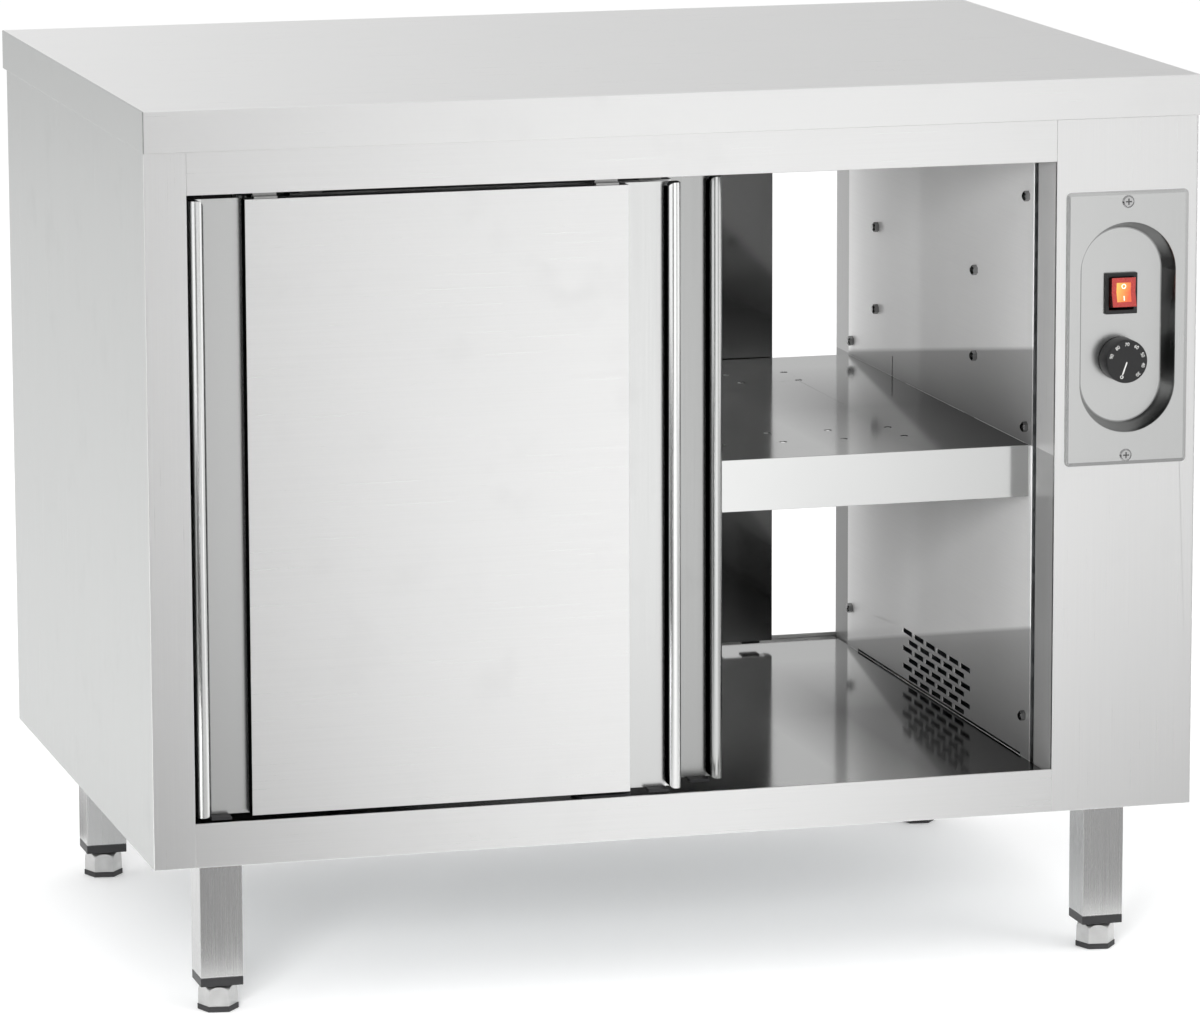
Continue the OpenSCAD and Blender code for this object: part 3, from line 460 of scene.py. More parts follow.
def galvanised(name, shade):
    """Galvanised sheet: spangle in flat cells of slightly different grey."""
    finish = Finish(name, metallic=1.0, roughness=0.42)
    cells = finish.node("ShaderNodeTexVoronoi", values={
        "Vector": finish.stretched((110.0, 110.0, 110.0)), "Scale": 1.0})
    tint = finish.node("ShaderNodeSeparateColor", values={0: cells.outputs["Color"]})
    spangle = Num(finish, tint.outputs[0])
    dust = finish.noise((22.0, 22.0, 22.0), detail=5.0)
    finish.set(Base_Color=finish.scale_colour(shade, 0.86 + spangle * 0.2 - dust * 0.06),
               Roughness=0.32 + spangle * 0.16 + dust * 0.08)
    finish.bump(dust, 0.1, 0.3 * MM)
    return finish


def polished(name, shade, roughness=0.16):
    """Turned or pressed metal with fine tool marks and dull patches."""
    finish = Finish(name, metallic=1.0, roughness=roughness)
    marks = finish.noise((900.0, 900.0, 900.0), detail=3.0)
    dull = finish.noise((120.0, 120.0, 120.0), detail=4.0)
    finish.set(Base_Color=finish.scale_colour(shade, 0.9 + dull * 0.2),
               Roughness=roughness + marks * 0.12 + dull * 0.1)
    finish.bump(marks, 0.12, 0.1 * MM)
    return finish


def moulded(name, shade, roughness, coat=0.0, texture=700.0):
    """Moulded plastic: a fine eroded texture and slight colour drift."""
    finish = Finish(name, roughness=roughness, coat=coat)
    erode = finish.noise((texture, texture, texture), detail=3.0)
    drift = finish.noise((40.0, 40.0, 40.0), detail=3.0)
    finish.set(Base_Color=finish.scale_colour(shade, 0.82 + drift * 0.3 + erode * 0.08),
               Roughness=roughness + (erode - 0.5) * 0.2 + (drift - 0.5) * 0.12)
    finish.bump(erode, 0.25, 0.08 * MM)
    return finish


def painted(name, shade):
    """Semi-matt enamel with orange peel."""
    finish = Finish(name, roughness=0.45, coat=0.25)
    peel = finish.noise((420.0, 420.0, 420.0), detail=2.0)
    drift = finish.noise((18.0, 18.0, 18.0), detail=4.0)
    finish.set(Base_Color=finish.scale_colour(shade, 0.88 + drift * 0.24),
               Roughness=0.38 + drift * 0.16)
    finish.bump(peel, 0.2, 0.2 * MM)
    return finish


def chipboard(name):
    """Core board: pale and dark chips pressed together."""
    finish = Finish(name, roughness=0.85)
    chips = finish.node("ShaderNodeTexVoronoi", values={
        "Vector": finish.stretched((260.0, 420.0, 900.0)), "Scale": 1.0})
    tint = finish.node("ShaderNodeSeparateColor", values={0: chips.outputs["Color"]})
    shade = finish.blend(tint.outputs[0], (0.36, 0.25, 0.15), (0.68, 0.53, 0.35))
    finish.set(Base_Color=shade)
    finish.bump(Num(finish, chips.outputs["Distance"]), 0.4, 0.6 * MM)
    return finish


def printed(name, shade):
    """Pad-printed ink, a little uneven."""
    finish = Finish(name, roughness=0.55)
    worn = finish.noise((1600.0, 1600.0, 1600.0), detail=3.0)
    finish.set(Base_Color=finish.scale_colour(shade, 0.86 + worn * 0.22))
    finish.bump(worn, 0.1, 0.03 * MM)
    return finish


def foot_metal(name, sole_top, cup_top):
    """Cast foot: a black sole, a satin cup and a threaded stem, told apart by height."""
    finish = Finish(name, roughness=0.4)
    z = finish.axes()[2]
    sole = z < sole_top
    stem = z > cup_top
    pits = finish.noise((500.0, 500.0, 500.0), detail=4.0)
    dirt = finish.noise((90.0, 90.0, 90.0), detail=4.0)
    metal = finish.scale_colour((0.60, 0.60, 0.595), 0.80 + dirt * 0.34)
    thread_pitch = 1.5 * MM
    thread = (z * (2 * math.pi / thread_pitch)).sin() * 0.5 + 0.5
    finish.set(Base_Color=finish.blend(sole, metal, (0.02, 0.02, 0.021)),
               Metallic=1.0 - sole,
               Roughness=0.30 + pits * 0.16 + sole * 0.25)
    finish.bump(thread * stem + pits * 0.15, 0.6, 0.5 * MM)
    return finish


# Mesh helpers

def piece(name, bm, finish, body):
    """Turn a mesh into a piece that rides on a body."""
    bmesh.ops.recalc_face_normals(bm, faces=bm.faces)
    mesh = bpy.data.meshes.new(name)
    bm.to_mesh(mesh)
    bm.free()
    made = bpy.data.objects.new(name, mesh)
    bpy.context.collection.objects.link(made)
    made.data.materials.append(finish.material)
    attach(made, body)
    return made


def dress(names, finish, fold=0.0, segments=2):
    """Give CAD nodes a finish and round their edges."""
    for name in names:
        node = frame["nodes"][name]
        for material_slot in node.material_slots:
            material_slot.material = finish.material
        if not node.material_slots:
            node.data.materials.append(finish.material)
        if fold > 0:
            weld = node.modifiers.new("weld", "WELD")
            weld.merge_threshold = 0.01 * MM
            bevel = node.modifiers.new("fold", "BEVEL")
            bevel.width = fold
            bevel.segments = segments
            bevel.limit_method = "ANGLE"
            bevel.angle_limit = math.radians(35)


def rounded_prism(outline, thickness, radius, steps=5):
    """Prism over a four-cornered outline (width, height) with rounded corners, facing -Y."""
    width, height = outline
    bm = bmesh.new()
    points = []
    for turn, (sx, sz) in enumerate(((1, 1), (-1, 1), (-1, -1), (1, -1))):
        for i in range(steps + 1):
            a = math.radians(90 * turn + 90 * i / steps)
            points.append((sx * (width / 2 - radius) + radius * math.cos(a),
                           sz * (height / 2 - radius) + radius * math.sin(a)))
    rings = [[bm.verts.new((x, y, z)) for x, z in points] for y in (0, -thickness)]
    bm.faces.new(rings[0])
    bm.faces.new(list(reversed(rings[1])))
    count = len(points)
    for i in range(count):
        j = (i + 1) % count
        bm.faces.new((rings[0][i], rings[1][i], rings[1][j], rings[0][j]))
    return bm


def moved(bm, matrix):
    """Move a mesh and hand it back."""
    bmesh.ops.transform(bm, matrix=matrix, verts=bm.verts)
    return bm


def joined(parts):
    """Join several bmeshes into one."""
    whole = bmesh.new()
    for part in parts:
        mesh = bpy.data.meshes.new("part")
        part.to_mesh(mesh)
        part.free()
        whole.from_mesh(mesh)
        bpy.data.meshes.remove(mesh)
    return whole


def facing_text(text, height, depth):
    """Upright lettering that faces -Y, centred on the origin."""
    curve = bpy.data.curves.new("print", "FONT")
    curve.body = text
    curve.size = height
    curve.extrude = depth / 2
    curve.align_x, curve.align_y = "CENTER", "CENTER"
    holder = bpy.data.objects.new("print", curve)
    bpy.context.collection.objects.link(holder)
    bpy.context.view_layer.update()
    mesh = bpy.data.meshes.new_from_object(holder)
    bm = bmesh.new()
    bm.from_mesh(mesh)
    bpy.data.objects.remove(holder)
    bpy.data.curves.remove(curve)
    bpy.data.meshes.remove(mesh)
    return moved(bm, Matrix.Rotation(math.radians(90), 4, "X"))


def ring(outer, inner, depth, steps=40):
    """Flat ring that faces -Y."""
    bm = bmesh.new()
    loops = []
    for radius, y in ((outer, 0), (outer, -depth), (inner, -depth), (inner, 0)):
        loops.append([bm.verts.new((radius * math.cos(2 * math.pi * i / steps), y,
                                    radius * math.sin(2 * math.pi * i / steps)))
                      for i in range(steps)])
    for k in range(4):
        a, b = loops[k], loops[(k + 1) % 4]
        for i in range(steps):
            j = (i + 1) % steps
            bm.faces.new((a[i], a[j], b[j], b[i]))
    return bm


def level_corners(x_ends, y_ends, z):
    """Corners of a level rectangle."""
    (left, right), (near, far) = x_ends, y_ends
    return [(left, near, z), (right, near, z), (right, far, z), (left, far, z)]


def standing_corners(x_ends, y, z_ends):
    """Corners of a rectangle that stands and faces the cabinet's front or back."""
    (left, right), (low, high) = x_ends, z_ends
    return [(left, y, low), (right, y, low), (right, y, high), (left, y, high)]


# Operators

class CABINET_OT_worktop(bpy.types.Operator):
    """Finish the worktop, its core board and its stiffeners"""

    bl_idname = "cabinet.worktop"
    bl_label = "Worktop"

    def execute(self, context):
        steel = context.scene.cabinet_steel
        # Painted shade: the worktop's left edge takes the darker colour of the side panels.
        left_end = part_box("worktop")[0][0] + 1 * MM
        dress(["worktop"],
              brushed("worktop_steel", steel.worktop, ALONG_X, steel.outside_roughness, 0.05,
                      faces=[(0, left_end, steel.sides)]), steel.fold_radius, 3)
        dress(["worktop_core"], chipboard("core_board"))
        dress(["worktop_stiffeners"], galvanised("stiffener_steel", steel.hidden))
        return {"FINISHED"}


class CABINET_OT_outer_sheets(bpy.types.Operator):
    """Finish the outer sheets: side panels, column, rails and control plate"""

    bl_idname = "cabinet.outer_sheets"
    bl_label = "Outer sheets"

    def execute(self, context):
        steel = context.scene.cabinet_steel
        rough = steel.outside_roughness
        fold = steel.fold_radius * 0.55
        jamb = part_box("column_front")[0]
        shelf_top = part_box("shelf")[1][2]
        # Painted light: the front fold of each side panel takes the lighter colour of the fronts.
        dress(["side_left", "side_right"],
              brushed("side_steel", steel.sides, ALONG_Z, rough,
                      faces=[(1, jamb[1] + FOLD_DEPTH, steel.fronts)]), fold)
        dress(["column_front", "column_rear"],
              brushed("column_steel", steel.fronts, ALONG_Z, rough,
                      jamb=((jamb[0] + FOLD_DEPTH, jamb[1] + FOLD_DEPTH), shelf_top)), fold)
        dress(["top_rails", "bottom_rails"],
              brushed("rail_steel", steel.fronts, ALONG_X, rough), fold)
        face_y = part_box("control_plate")[0][1]
        dress(["control_plate"],
              brushed("plate_steel", steel.plate, ALONG_Z, rough * 0.8,
                      groove=(face_y, self.recess())), fold)
        return {"FINISHED"}

    @staticmethod
    def recess():
        """Low and high corner of the recess, a little off the plate's middle."""
        width, height = 94 * MM, 198 * MM
        aside = Vector((0.7 * MM, 0, 0.6 * MM))
        low, high = (Vector(corner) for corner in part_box("control_plate"))
        middle = (low + high) / 2 + aside
        half = Vector((width / 2, 0, height / 2))
        return middle - half, middle + half


class CABINET_OT_lining(bpy.types.Operator):
    """Finish the bright sheets inside: liners, floor, ceiling and shelf"""

    bl_idname = "cabinet.lining"
    bl_label = "Lining"

    def execute(self, context):
        steel = context.scene.cabinet_steel
        walls = (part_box("liner_left")[1][0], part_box("liner_right")[0][0])
        lining = bright("lining_steel", steel.lining, steel.lining_roughness, walls=walls)
        dress(["cabinet_floor", "ceiling_panel"], lining, steel.fold_radius * 0.4)
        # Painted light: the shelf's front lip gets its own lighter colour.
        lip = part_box("shelf")[0][1] + FOLD_DEPTH
        dress(["shelf"], bright("shelf_steel", steel.lining, steel.lining_roughness,
                                (lip, steel.lip), walls), steel.fold_radius * 0.4)
        ledges = [(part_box(name)[1][2], climb)
                  for name, climb in (("shelf", 0.155), ("cabinet_floor", 0.216))]
        dress(["liner_left", "liner_right"], dull_rolled("wall_steel", steel.wall, ledges),
              steel.fold_radius * 0.4)
        return {"FINISHED"}


class CABINET_OT_doors(bpy.types.Operator):
    """Finish the sliding doors, their hangers, rollers and foot pads"""

    bl_idname = "cabinet.doors"
    bl_label = "Doors"

    def execute(self, context):
        steel = context.scene.cabinet_steel
        plastics = context.scene.cabinet_plastics
        fold = steel.fold_radius * 0.5
        grip_width = 13.2 * MM
        everywhere = -1.0
        raised = brushed("door_panel_steel", steel.fronts, ALONG_X, steel.outside_roughness,
                         shaded_side=(everywhere, 0.95))
        # The rear doors' backs take the dark door-lining colour as painted shade.
        mirror = bright("door_lining_steel", steel.shaded_door_lining, 0.09)
        hanger = polished("hanger_steel", (0.46, 0.46, 0.455), 0.24)
        nylon = moulded("roller_nylon", plastics.rollers, 0.5)
        rubber = moulded("pad_plastic", plastics.pads, 0.55)
        for door in DOORS:
            dress([door + "_panel"], raised, fold)
            low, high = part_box(door + "_back")
            outer = door.endswith("outer")
            # Painted shade: the inner doors take the darker deep-strip colour, and the grips get
            # painted light.
            shade = steel.strips if outer else steel.shaded_deep_strips
            middle, half = (low[0] + high[0]) / 2, (high[0] - low[0]) / 2
            back = brushed(door + "_steel", shade, ALONG_Z, 0.22, 0.05, shaded_side=(middle, 0.97),
                           grips=(middle, half - grip_width, 0.36 if outer else 0.55))
            dress([door + "_back"], back if door.startswith("front") else mirror, fold)
            dress([door + "_hangers"], hanger, 0.3 * MM)
            dress([door + "_roller_left", door + "_roller_right"], nylon)
            self.add_pads(door, rubber)
        return {"FINISHED"}

    @staticmethod
    def add_pads(door, finish):
        """Two short plastic pads under the door, where it runs in the floor guide."""
        low, high = (Vector(corner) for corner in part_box(door + "_back"))
        pad_width, pad_height, inset = 19 * MM, 2.8 * MM, 22 * MM
        depth = (high.y - low.y) * 0.72
        parts = []
        for x in (low.x + inset, high.x - inset):
            pad = rounded_prism((pad_width, pad_height), depth, 0.9 * MM)
            parts.append(moved(pad, Matrix.Translation(
                (x, (low.y + high.y + depth) / 2, low.z - pad_height / 2))))
        piece(door + "_pads", joined(parts), finish, door + "_door")


class CABINET_OT_door_run(bpy.types.Operator):
    """Finish the door tracks above and the guides on the floor"""

    bl_idname = "cabinet.door_run"
    bl_label = "Tracks and guides"

    def execute(self, context):
        steel = context.scene.cabinet_steel
        plastics = context.scene.cabinet_plastics
        dress(["door_tracks"], polished("track_steel", steel.hidden, 0.28), 0.3 * MM)
        dress(["door_guides"], moulded("guide_plastic", plastics.guides, 0.45), 0.5 * MM)
        return {"FINISHED"}


class CABINET_OT_fasteners(bpy.types.Operator):
    """Finish the wall bolts and the screws of the control plate"""

    bl_idname = "cabinet.fasteners"
    bl_label = "Bolts and screws"

    def execute(self, context):
        dress(["wall_bolts"], polished("bolt_steel", (0.30, 0.30, 0.30), 0.10), 0.4 * MM)
        zinc = (0.62, 0.62, 0.62)
        screw = polished("screw_steel", zinc, 0.08)
        dress(["plate_screws"], screw, 0.5 * MM, 3)
        self.shade_slots(screw, zinc)
        return {"FINISHED"}

    @staticmethod
    def shade_slots(screw, zinc):
        """The floor of the cross slots and the sides of the heads that turn away lie in painted shade.
        """
        slot_start, slot_end = 0.12 * MM, 0.95 * MM
        head_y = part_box("plate_screws")[0][1]
        nx, ny, nz = screw.normals()
        y = screw.axes()[1]
        slot = (y > head_y + slot_start) * (y < head_y + slot_end) * (ny < -0.9)
        # Painted shade on the sides of the dome heads.
        edge = ((abs(nx) + abs(nz) - 0.35) * 2.0).clamp()
        shade = (slot + edge * 0.55).clamp()
        screw.set(Base_Color=screw.scale_colour(zinc, 1.0 - shade * 0.8))


class CABINET_OT_switch(bpy.types.Operator):
    """Finish the rocker switch and fit its lit window and marks"""

    bl_idname = "cabinet.switch"
    bl_label = "Rocker switch"

    def execute(self, context):
        look = context.scene.cabinet_switch
        bezel = context.scene.cabinet_plastics.bezel
        dress(["switch_housing"], moulded("bezel_plastic", bezel, 0.38), 1.4 * MM, 4)
        red = moulded("rocker_plastic", look.red, 0.25, coat=0.3, texture=260.0)
        nx, _, nz = red.normals()
        # Painted shade: faces of the rocker that turn sideways or up are darkened.
        painted_side_shade = ((abs(nx) + nz - 0.55) * 4.0).clamp()
        tint = red.noise((90.0, 90.0, 90.0), detail=3.0)
        red.set(Base_Color=red.scale_colour(look.red, (0.88 + tint * 0.24) * (1.0 - painted_side_shade * 0.9)))
        dress(["switch_rocker"], red, 1.1 * MM, 4)
        pivot = next(joint["pos_m"] for joint in frame["record"]["behaviour"]["joints"]
                     if joint["name"] == "rocker_tilt")
        seat = Matrix.Translation(pivot) @ Matrix.Rotation(ROCKER_TILT, 4, "X")
        self.fit_window(look, pivot, seat)
        self.print_marks(look, seat)
        return {"FINISHED"}

    @staticmethod
    def face_y(z):
        """Where the dished face of the rocker lies, at a height above its pivot."""
        return -(ROCKER_MIDDLE + (ROCKER_END - ROCKER_MIDDLE) * abs(z) / ROCKER_TIP)

    def fit_window(self, look, pivot, seat):
        """The window follows the dished face of the rocker, at the tilt it is made at."""
        half = look.window_height / 2
        stand, sink, steps = 0.12 * MM, 0.3 * MM, 10
        bm = bmesh.new()
        rows = []
        for i in range(steps + 1):
            z = -half + 2 * half * i / steps
            rows.append([bm.verts.new((x, self.face_y(z) - lift, z))
                         for lift in (stand, -sink)
                         for x in (-look.window_width / 2, look.window_width / 2)])
        for low, high in zip(rows, rows[1:]):
            bm.faces.new((low[0], low[1], high[1], high[0]))
            bm.faces.new((low[3], low[2], high[2], high[3]))
            bm.faces.new((low[2], low[0], high[0], high[2]))
            bm.faces.new((low[1], low[3], high[3], high[1]))
        bm.faces.new((rows[0][0], rows[0][2], rows[0][3], rows[0][1]))
        bm.faces.new((rows[-1][0], rows[-1][1], rows[-1][3], rows[-1][2]))
        piece("rocker_window", moved(bm, seat), self.lit_window(look, pivot), "switch_rocker")

    @staticmethod
    def lit_window(look, pivot):
        """Red window with a lamp behind it, hottest at its upper left."""
        glow = Finish("window_glow", roughness=0.18, coat=0.5)
        x, _, z = glow.axes()
        across = ((x - pivot[0]) / look.window_width + 0.5).clamp()
        down = ((pivot[2] + 0.4 * look.window_height - z) / look.window_height).clamp()
        speck = glow.noise((300.0, 300.0, 300.0), detail=3.0)
        away = (across + down * 0.5 + (speck - 0.5) * 0.3 - 0.1).clamp()
        glow.set(Base_Color=glow.scale_colour((0.25, 0.06, 0.02), 0.8 + speck * 0.3),
                 Emission_Color=glow.blend(away, look.glow, (0.62, 0.05, 0.02)),
                 Emission_Strength=0.85)
        glow.bump(speck, 0.2, 0.1 * MM)
        return glow

    def print_marks(self, look, seat):
        """A circle on the upper half of the window and a bar on the lower half."""
        ink_depth, ink_lift = 0.15 * MM, 0.16 * MM
        mark_z = look.window_height * 0.31
        lean = math.atan((ROCKER_END - ROCKER_MIDDLE) / ROCKER_TIP)
        circle = ring(2.3 * MM, 1.5 * MM, ink_depth)
        bar = rounded_prism((0.9 * MM, 4.4 * MM), ink_depth, 0.3 * MM, 3)
        for mark, side in ((circle, 1), (bar, -1)):
            moved(mark, Matrix.Translation((0, self.face_y(mark_z) - ink_lift, side * mark_z))
                  @ Matrix.Rotation(side * lean, 4, "X"))
        piece("rocker_marks", moved(joined([circle, bar]), seat),
              printed("mark_ink", (0.95, 0.85, 0.7)), "switch_rocker")


class CABINET_OT_knob(bpy.types.Operator):
    """Finish the thermostat knob and print its numbers and pointer"""

    bl_idname = "cabinet.knob"
    bl_label = "Thermostat knob"

    def execute(self, context):
        look = context.scene.cabinet_knob
        plastic = context.scene.cabinet_plastics.knob
        dress(["knob"], moulded("knob_plastic", plastic, 0.42), 0.4 * MM, 3)
        dress(["thermostat_shaft"], polished("shaft_steel", (0.66, 0.66, 0.66)))
        low, high = (Vector(corner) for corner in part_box("knob"))
        centre = Vector(((low.x + high.x) / 2, low.y, (low.z + high.z) / 2))
        ink = printed("knob_ink", (0.42, 0.42, 0.41))
        ink_depth = 0.12 * MM
        numbers = []
        for i in range(look.count):
            around, along = self.turned(look.start + look.pitch * i)
            number = facing_text(str(look.low + look.step * i), look.height, ink_depth)
            numbers.append(moved(number, Matrix.Translation(centre + along * look.ring) @ around))
        piece("knob_numbers", joined(numbers), ink, "knob")
        around, along = self.turned(look.pointer)
        face = centre + Vector((0, ink_depth / 2, 0))
        line_out, nought_out = 6.6 * MM, 15.2 * MM
        line = rounded_prism((1.3 * MM, 12.5 * MM), ink_depth, 0.6 * MM, 3)
        moved(line, Matrix.Translation(face + along * line_out) @ around)
        nought = ring(1.7 * MM, 0.95 * MM, ink_depth)
        moved(nought, Matrix.Translation(face + along * nought_out))
        piece("knob_pointer", joined([line, nought]), ink, "knob")
        return {"FINISHED"}

    @staticmethod
    def turned(a):
        """Turn and direction of a mark that stands upright at an angle from the right."""
        return (Matrix.Rotation(math.radians(90) - a, 4, "Y"),
                Vector((math.cos(a), 0, math.sin(a))))


class CABINET_OT_legs(bpy.types.Operator):
    """Finish the legs, their plastic inserts and the levelling feet"""

    bl_idname = "cabinet.legs"
    bl_label = "Legs and feet"

    def execute(self, context):
        steel = context.scene.cabinet_steel
        dress(["legs"], brushed("leg_steel", steel.legs, ALONG_Z, 0.26, 0.2), 1.2 * MM, 3)
        inserts = context.scene.cabinet_plastics.inserts
        dress(["leg_inserts"], moulded("insert_plastic", inserts, 0.42), 0.8 * MM, 3)
        sole_top, cup_top = 5.1 * MM, 26 * MM
        dress(FEET, foot_metal("foot_metal", sole_top, cup_top), 0.5 * MM, 3)
        return {"FINISHED"}


class CABINET_OT_structure(bpy.types.Operator):
    """Finish the hidden structure and the heated column"""

    bl_idname = "cabinet.structure"
    bl_label = "Structure and heated column"

    def execute(self, context):
        steel = context.scene.cabinet_steel
        plastics = context.scene.cabinet_plastics
        dress(["column_uprights", "floor_bearers", "bottom_pan", "air_duct"],
              galvanised("frame_steel", steel.hidden))
        dress(["fan_motor"], painted("motor_paint", (0.03, 0.03, 0.034)), 0.8 * MM)
        dress(["fan_rotor"], polished("rotor_steel", (0.58, 0.59, 0.60), 0.3), 0.3 * MM)
        dress(["heating_element"], polished("heater_steel", (0.22, 0.18, 0.17), 0.34))
        dress(["thermostat_body", "terminal_block"],
              moulded("device_plastic", plastics.devices, 0.5), 0.4 * MM)
        dress(["thermostat_sensor"], polished("copper", (0.72, 0.36, 0.2), 0.24))
        dress(["cable_gland"], moulded("gland_plastic", plastics.gland, 0.48), 0.4 * MM)
        return {"FINISHED"}


class CABINET_OT_studio(bpy.types.Operator):
    """Set up the floor, the surroundings, the lamps and the camera"""

    bl_idname = "cabinet.studio"
    bl_label = "Studio"

    def execute(self, context):
        studio = context.scene.cabinet_studio
        self.add_floor()
        self.add_flag(studio)
        self.set_sky(context.scene, studio)
        self.add_front_card(studio)
        self.add_back_card()
        self.add_rear_card()
        self.add_ceiling_card()
        for lamp in LAMPS:
            self.add_lamp(*lamp)
        self.add_camera(context.scene, studio)
        context.scene.view_settings.view_transform = "Standard"
        return {"FINISHED"}

    @staticmethod
    def sheet(name, finish, faces):
        """Flat faces that belong to the stage, not to the cabinet."""
        bm = bmesh.new()
        for corners in faces:
            bm.faces.new([bm.verts.new(corner) for corner in corners])
        mesh = bpy.data.meshes.new(name)
        bm.to_mesh(mesh)
        bm.free()
        made = bpy.data.objects.new(name, mesh)
        bpy.context.collection.objects.link(made)
        made.data.materials.append(finish.material)
        return made

    def card(self, finish, *faces):
        """Card that only shows in the reflections of the steel."""
        made = self.sheet(finish.material.name, finish, faces)
        for ray in ("camera", "diffuse", "shadow", "transmission", "volume_scatter"):
            setattr(made, "visible_" + ray, False)

    @staticmethod
    def lit_finish(name, strength=1.0):
        """Finish of a card that gives light of its own and takes none."""
        finish = Finish(name, roughness=1.0, specular=0.0)
        return finish.set(Base_Color=BLACK, Emission_Strength=strength)

    def add_floor(self):
        """Pale floor that the camera and the metal see as white, with the cabinet's shadow."""
        ends = (-20.0, 20.0)
        finish = Finish("studio_floor", roughness=0.9, specular=0.1)
        grain = finish.noise((3.0, 3.0, 3.0), detail=3.0)
        finish.set(Base_Color=finish.scale_colour((0.96, 0.96, 0.96), 0.99 + grain * 0.02),
                   Emission_Color=WHITE, Emission_Strength=0.1)
        self.sheet("studio_floor", finish, [level_corners(ends, ends, -0.5 * MM)])

    def add_flag(self, studio):
        """Dark fan on the floor to the left of the camera's line, seen only by reflections."""
        finish = Finish("studio_flag", roughness=1.0)
        mottle = finish.noise((2.0, 2.0, 2.0))
        dark = (studio.flag,) * 3
        finish.set(Base_Color=finish.scale_colour(dark, 0.9 + mottle * 0.2))
        hub = Vector((-0.46, -0.36))
        angles = [math.radians(a) for a in (-7, -20, -35, -50, -65, -80)]
        near, far = 0.55, 9.0
        rim = [(hub.x + r * math.sin(a), hub.y - r * math.cos(a), 2 * MM)
               for r, sweep in ((near, angles), (far, reversed(angles))) for a in sweep]
        self.card(finish, rim)

    def add_front_card(self, studio):
        """Card on the floor in front, brightest in its middle, that shades the flat fronts.

        It is graded by the direction from the camera's mirror image in those fronts.
        """
        finish = self.lit_finish("studio_front_card", 1.29)
        x, y, z = finish.axes()
        front_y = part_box("column_front")[0][1]
        mirrored_x, mirrored_y = studio.place[0], 2 * front_y - studio.place[1]
        slope = (x - mirrored_x) / (mirrored_y - y)
        nearness = ((y + 2.6) / 1.7).clamp()
        height = (z / 1.6).clamp()
        across = finish.greys((slope - 0.10) / 0.27, (0.0, 0.20), (0.30, 0.27), (0.46, 0.66),
                              (0.62, 1.0), (0.74, 1.0), (0.86, 0.78), (1.0, 0.56))
        finish.set(Emission_Color=finish.scale_colour(
            across, (1.0 - nearness * 0.34) * (1.0 - height * 0.22)))
        left, near_right, far_right = -0.6, 5.0, 9.0
        near, far, level = -0.45, -14.0, 1 * MM
        self.card(finish,
                  [(left, near, level), (near_right, near, level), (far_right, far, level),
                   (left, far, level)],
                  standing_corners((-5.0, 14.0), far, (level, 6.0)))

    def add_back_card(self):
        """Standing card far behind that grades the reflection in the worktop."""
        finish = self.lit_finish("studio_back_card")
        x = finish.axes()[0]
        finish.set(Emission_Color=finish.greys((x + 2.0) / 6.0, (0.0, 0.80), (0.24, 1.0),
                                               (0.50, 0.72), (1.0, 0.48)))
        self.card(finish, standing_corners((-8.0, 12.0), 6.0, (-0.5, 7.0)))

    def add_rear_card(self):
        """Card on the floor behind, so that the rear is shaded as softly as the front."""
        finish = self.lit_finish("studio_rear_card")
        x, y, _ = finish.axes()
        nearness = ((1.6 - y) / 1.3).clamp()
        across = finish.greys((x + 0.5) / 3.6, (0.0, 0.58), (0.40, 0.86), (1.0, 0.52))
        finish.set(Emission_Color=finish.scale_colour(across, 1.0 - nearness * 0.18))
        self.card(finish, level_corners((-0.55, 6.0), (0.42, 5.9), 1 * MM))

    def add_ceiling_card(self):
        """Grey card overhead, so that the worktop is not lost in white when seen from above."""
        finish = self.lit_finish("studio_ceiling_card")
        x, y, _ = finish.axes()
        reach, ends, level = 9.0, (-16.0, 16.0), 8.0
        centre = 1.0 - ((x * x + y * y) ** 0.5 / reach).clamp()
        finish.set(Emission_Color=finish.scale_colour(WHITE, 0.76 + centre * 0.14))
        self.card(finish, level_corners(ends, ends, level))

    @staticmethod
    def set_sky(scene, studio):
        """Even surroundings; the camera, metal and glass see them as plain white."""
        scene.world = bpy.data.worlds.new("studio")
        world = Nodes(scene.world)
        path = world.node("ShaderNodeLightPath").outputs
        camera, glossy, through = (Num(world, path["Is %s Ray" % kind])
                                   for kind in ("Camera", "Glossy", "Transmission"))
        lit = world.node("ShaderNodeBackground", values={"Color": (studio.sky,) * 3})
        seen = world.node("ShaderNodeBackground", values={"Color": WHITE})
        mix = world.node("ShaderNodeMixShader", values={
            0: (camera + glossy + through).clamp(), 1: lit.outputs[0], 2: seen.outputs[0]})
        world.node("ShaderNodeOutputWorld", values={"Surface": mix.outputs[0]})

    @staticmethod
    def add_lamp(name, place, target, width, watts):
        """Square soft lamp that the steel doesn't mirror."""
        lamp = bpy.data.lights.new(name, "AREA")
        lamp.energy = watts
        lamp.size = width
        made = bpy.data.objects.new(name, lamp)
        bpy.context.collection.objects.link(made)
        made.location = place
        made.rotation_euler = (Vector(target) - Vector(place)).to_track_quat("-Z", "Y").to_euler()
        made.visible_glossy = False

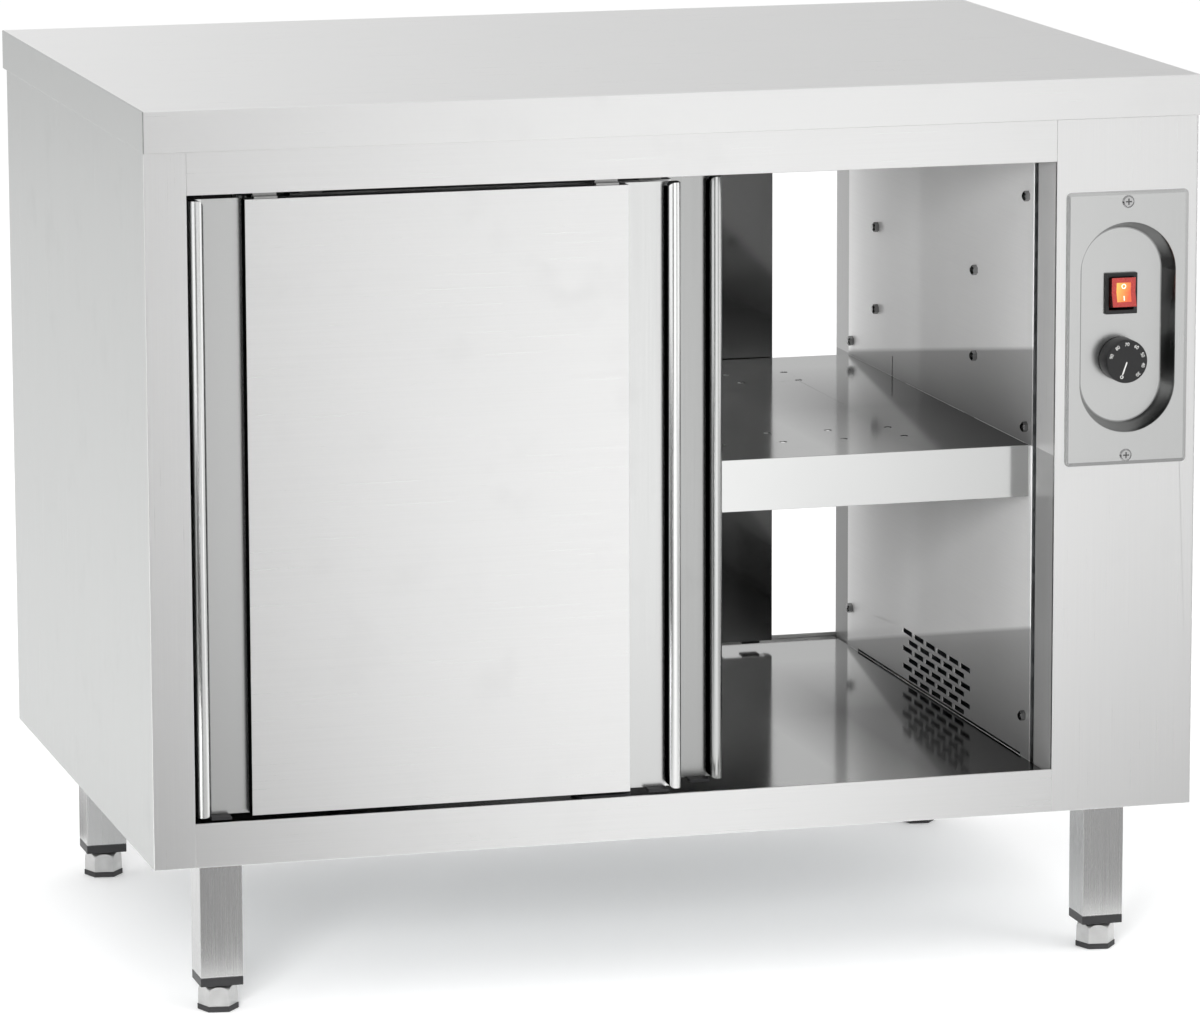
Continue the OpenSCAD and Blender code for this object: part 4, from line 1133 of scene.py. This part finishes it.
    @staticmethod
    def add_camera(scene, studio):
        """The camera that was fitted to the corners of the photograph."""
        data = bpy.data.cameras.new("camera")
        data.sensor_width = 36.0
        data.lens = studio.focal_pixels * data.sensor_width / IMAGE_WIDTH
        data.clip_end = 100.0
        made = bpy.data.objects.new("camera", data)
        bpy.context.collection.objects.link(made)
        turn, dip = studio.turn, studio.dip
        ahead = Vector((math.sin(turn) * math.cos(dip), math.cos(turn) * math.cos(dip), -math.sin(dip)))
        right = Vector((math.cos(turn), -math.sin(turn), 0))
        up = right.cross(ahead)
        c, s = math.cos(studio.roll), math.sin(studio.roll)
        right, up = right * c + up * s, up * c - right * s
        made.matrix_world = Matrix.Translation(studio.place) @ Matrix(
            (right, up, -ahead)).transposed().to_4x4()
        scene.camera = made


OPERATORS = (CABINET_OT_worktop, CABINET_OT_outer_sheets, CABINET_OT_lining, CABINET_OT_doors,
             CABINET_OT_door_run, CABINET_OT_fasteners, CABINET_OT_switch, CABINET_OT_knob,
             CABINET_OT_legs, CABINET_OT_structure, CABINET_OT_studio)
SETTINGS = {"cabinet_steel": CabinetSteel, "cabinet_plastics": CabinetPlastics,
            "cabinet_knob": CabinetKnob, "cabinet_switch": CabinetSwitch,
            "cabinet_studio": CabinetStudio}


class CABINET_PT_panel(bpy.types.Panel):
    """Lists the steps that dress the cabinet"""

    bl_idname = "CABINET_PT_panel"
    bl_label = "Plate warmer cabinet"
    bl_space_type = "VIEW_3D"
    bl_region_type = "UI"
    bl_category = "Cabinet"

    def draw(self, context):
        for step in OPERATORS:
            self.layout.operator(step.bl_idname)


def register():
    for group in SETTINGS.values():
        bpy.utils.register_class(group)
    for name, group in SETTINGS.items():
        setattr(bpy.types.Scene, name, PointerProperty(type=group))
    for step in OPERATORS:
        bpy.utils.register_class(step)
    bpy.utils.register_class(CABINET_PT_panel)


def unregister():
    bpy.utils.unregister_class(CABINET_PT_panel)
    for step in reversed(OPERATORS):
        bpy.utils.unregister_class(step)
    for name, group in SETTINGS.items():
        delattr(bpy.types.Scene, name)
        bpy.utils.unregister_class(group)


def main():
    register()
    for step in OPERATORS:
        group, name = step.bl_idname.split(".")
        getattr(getattr(bpy.ops, group), name)()


if __name__ == "__main__":
    main()
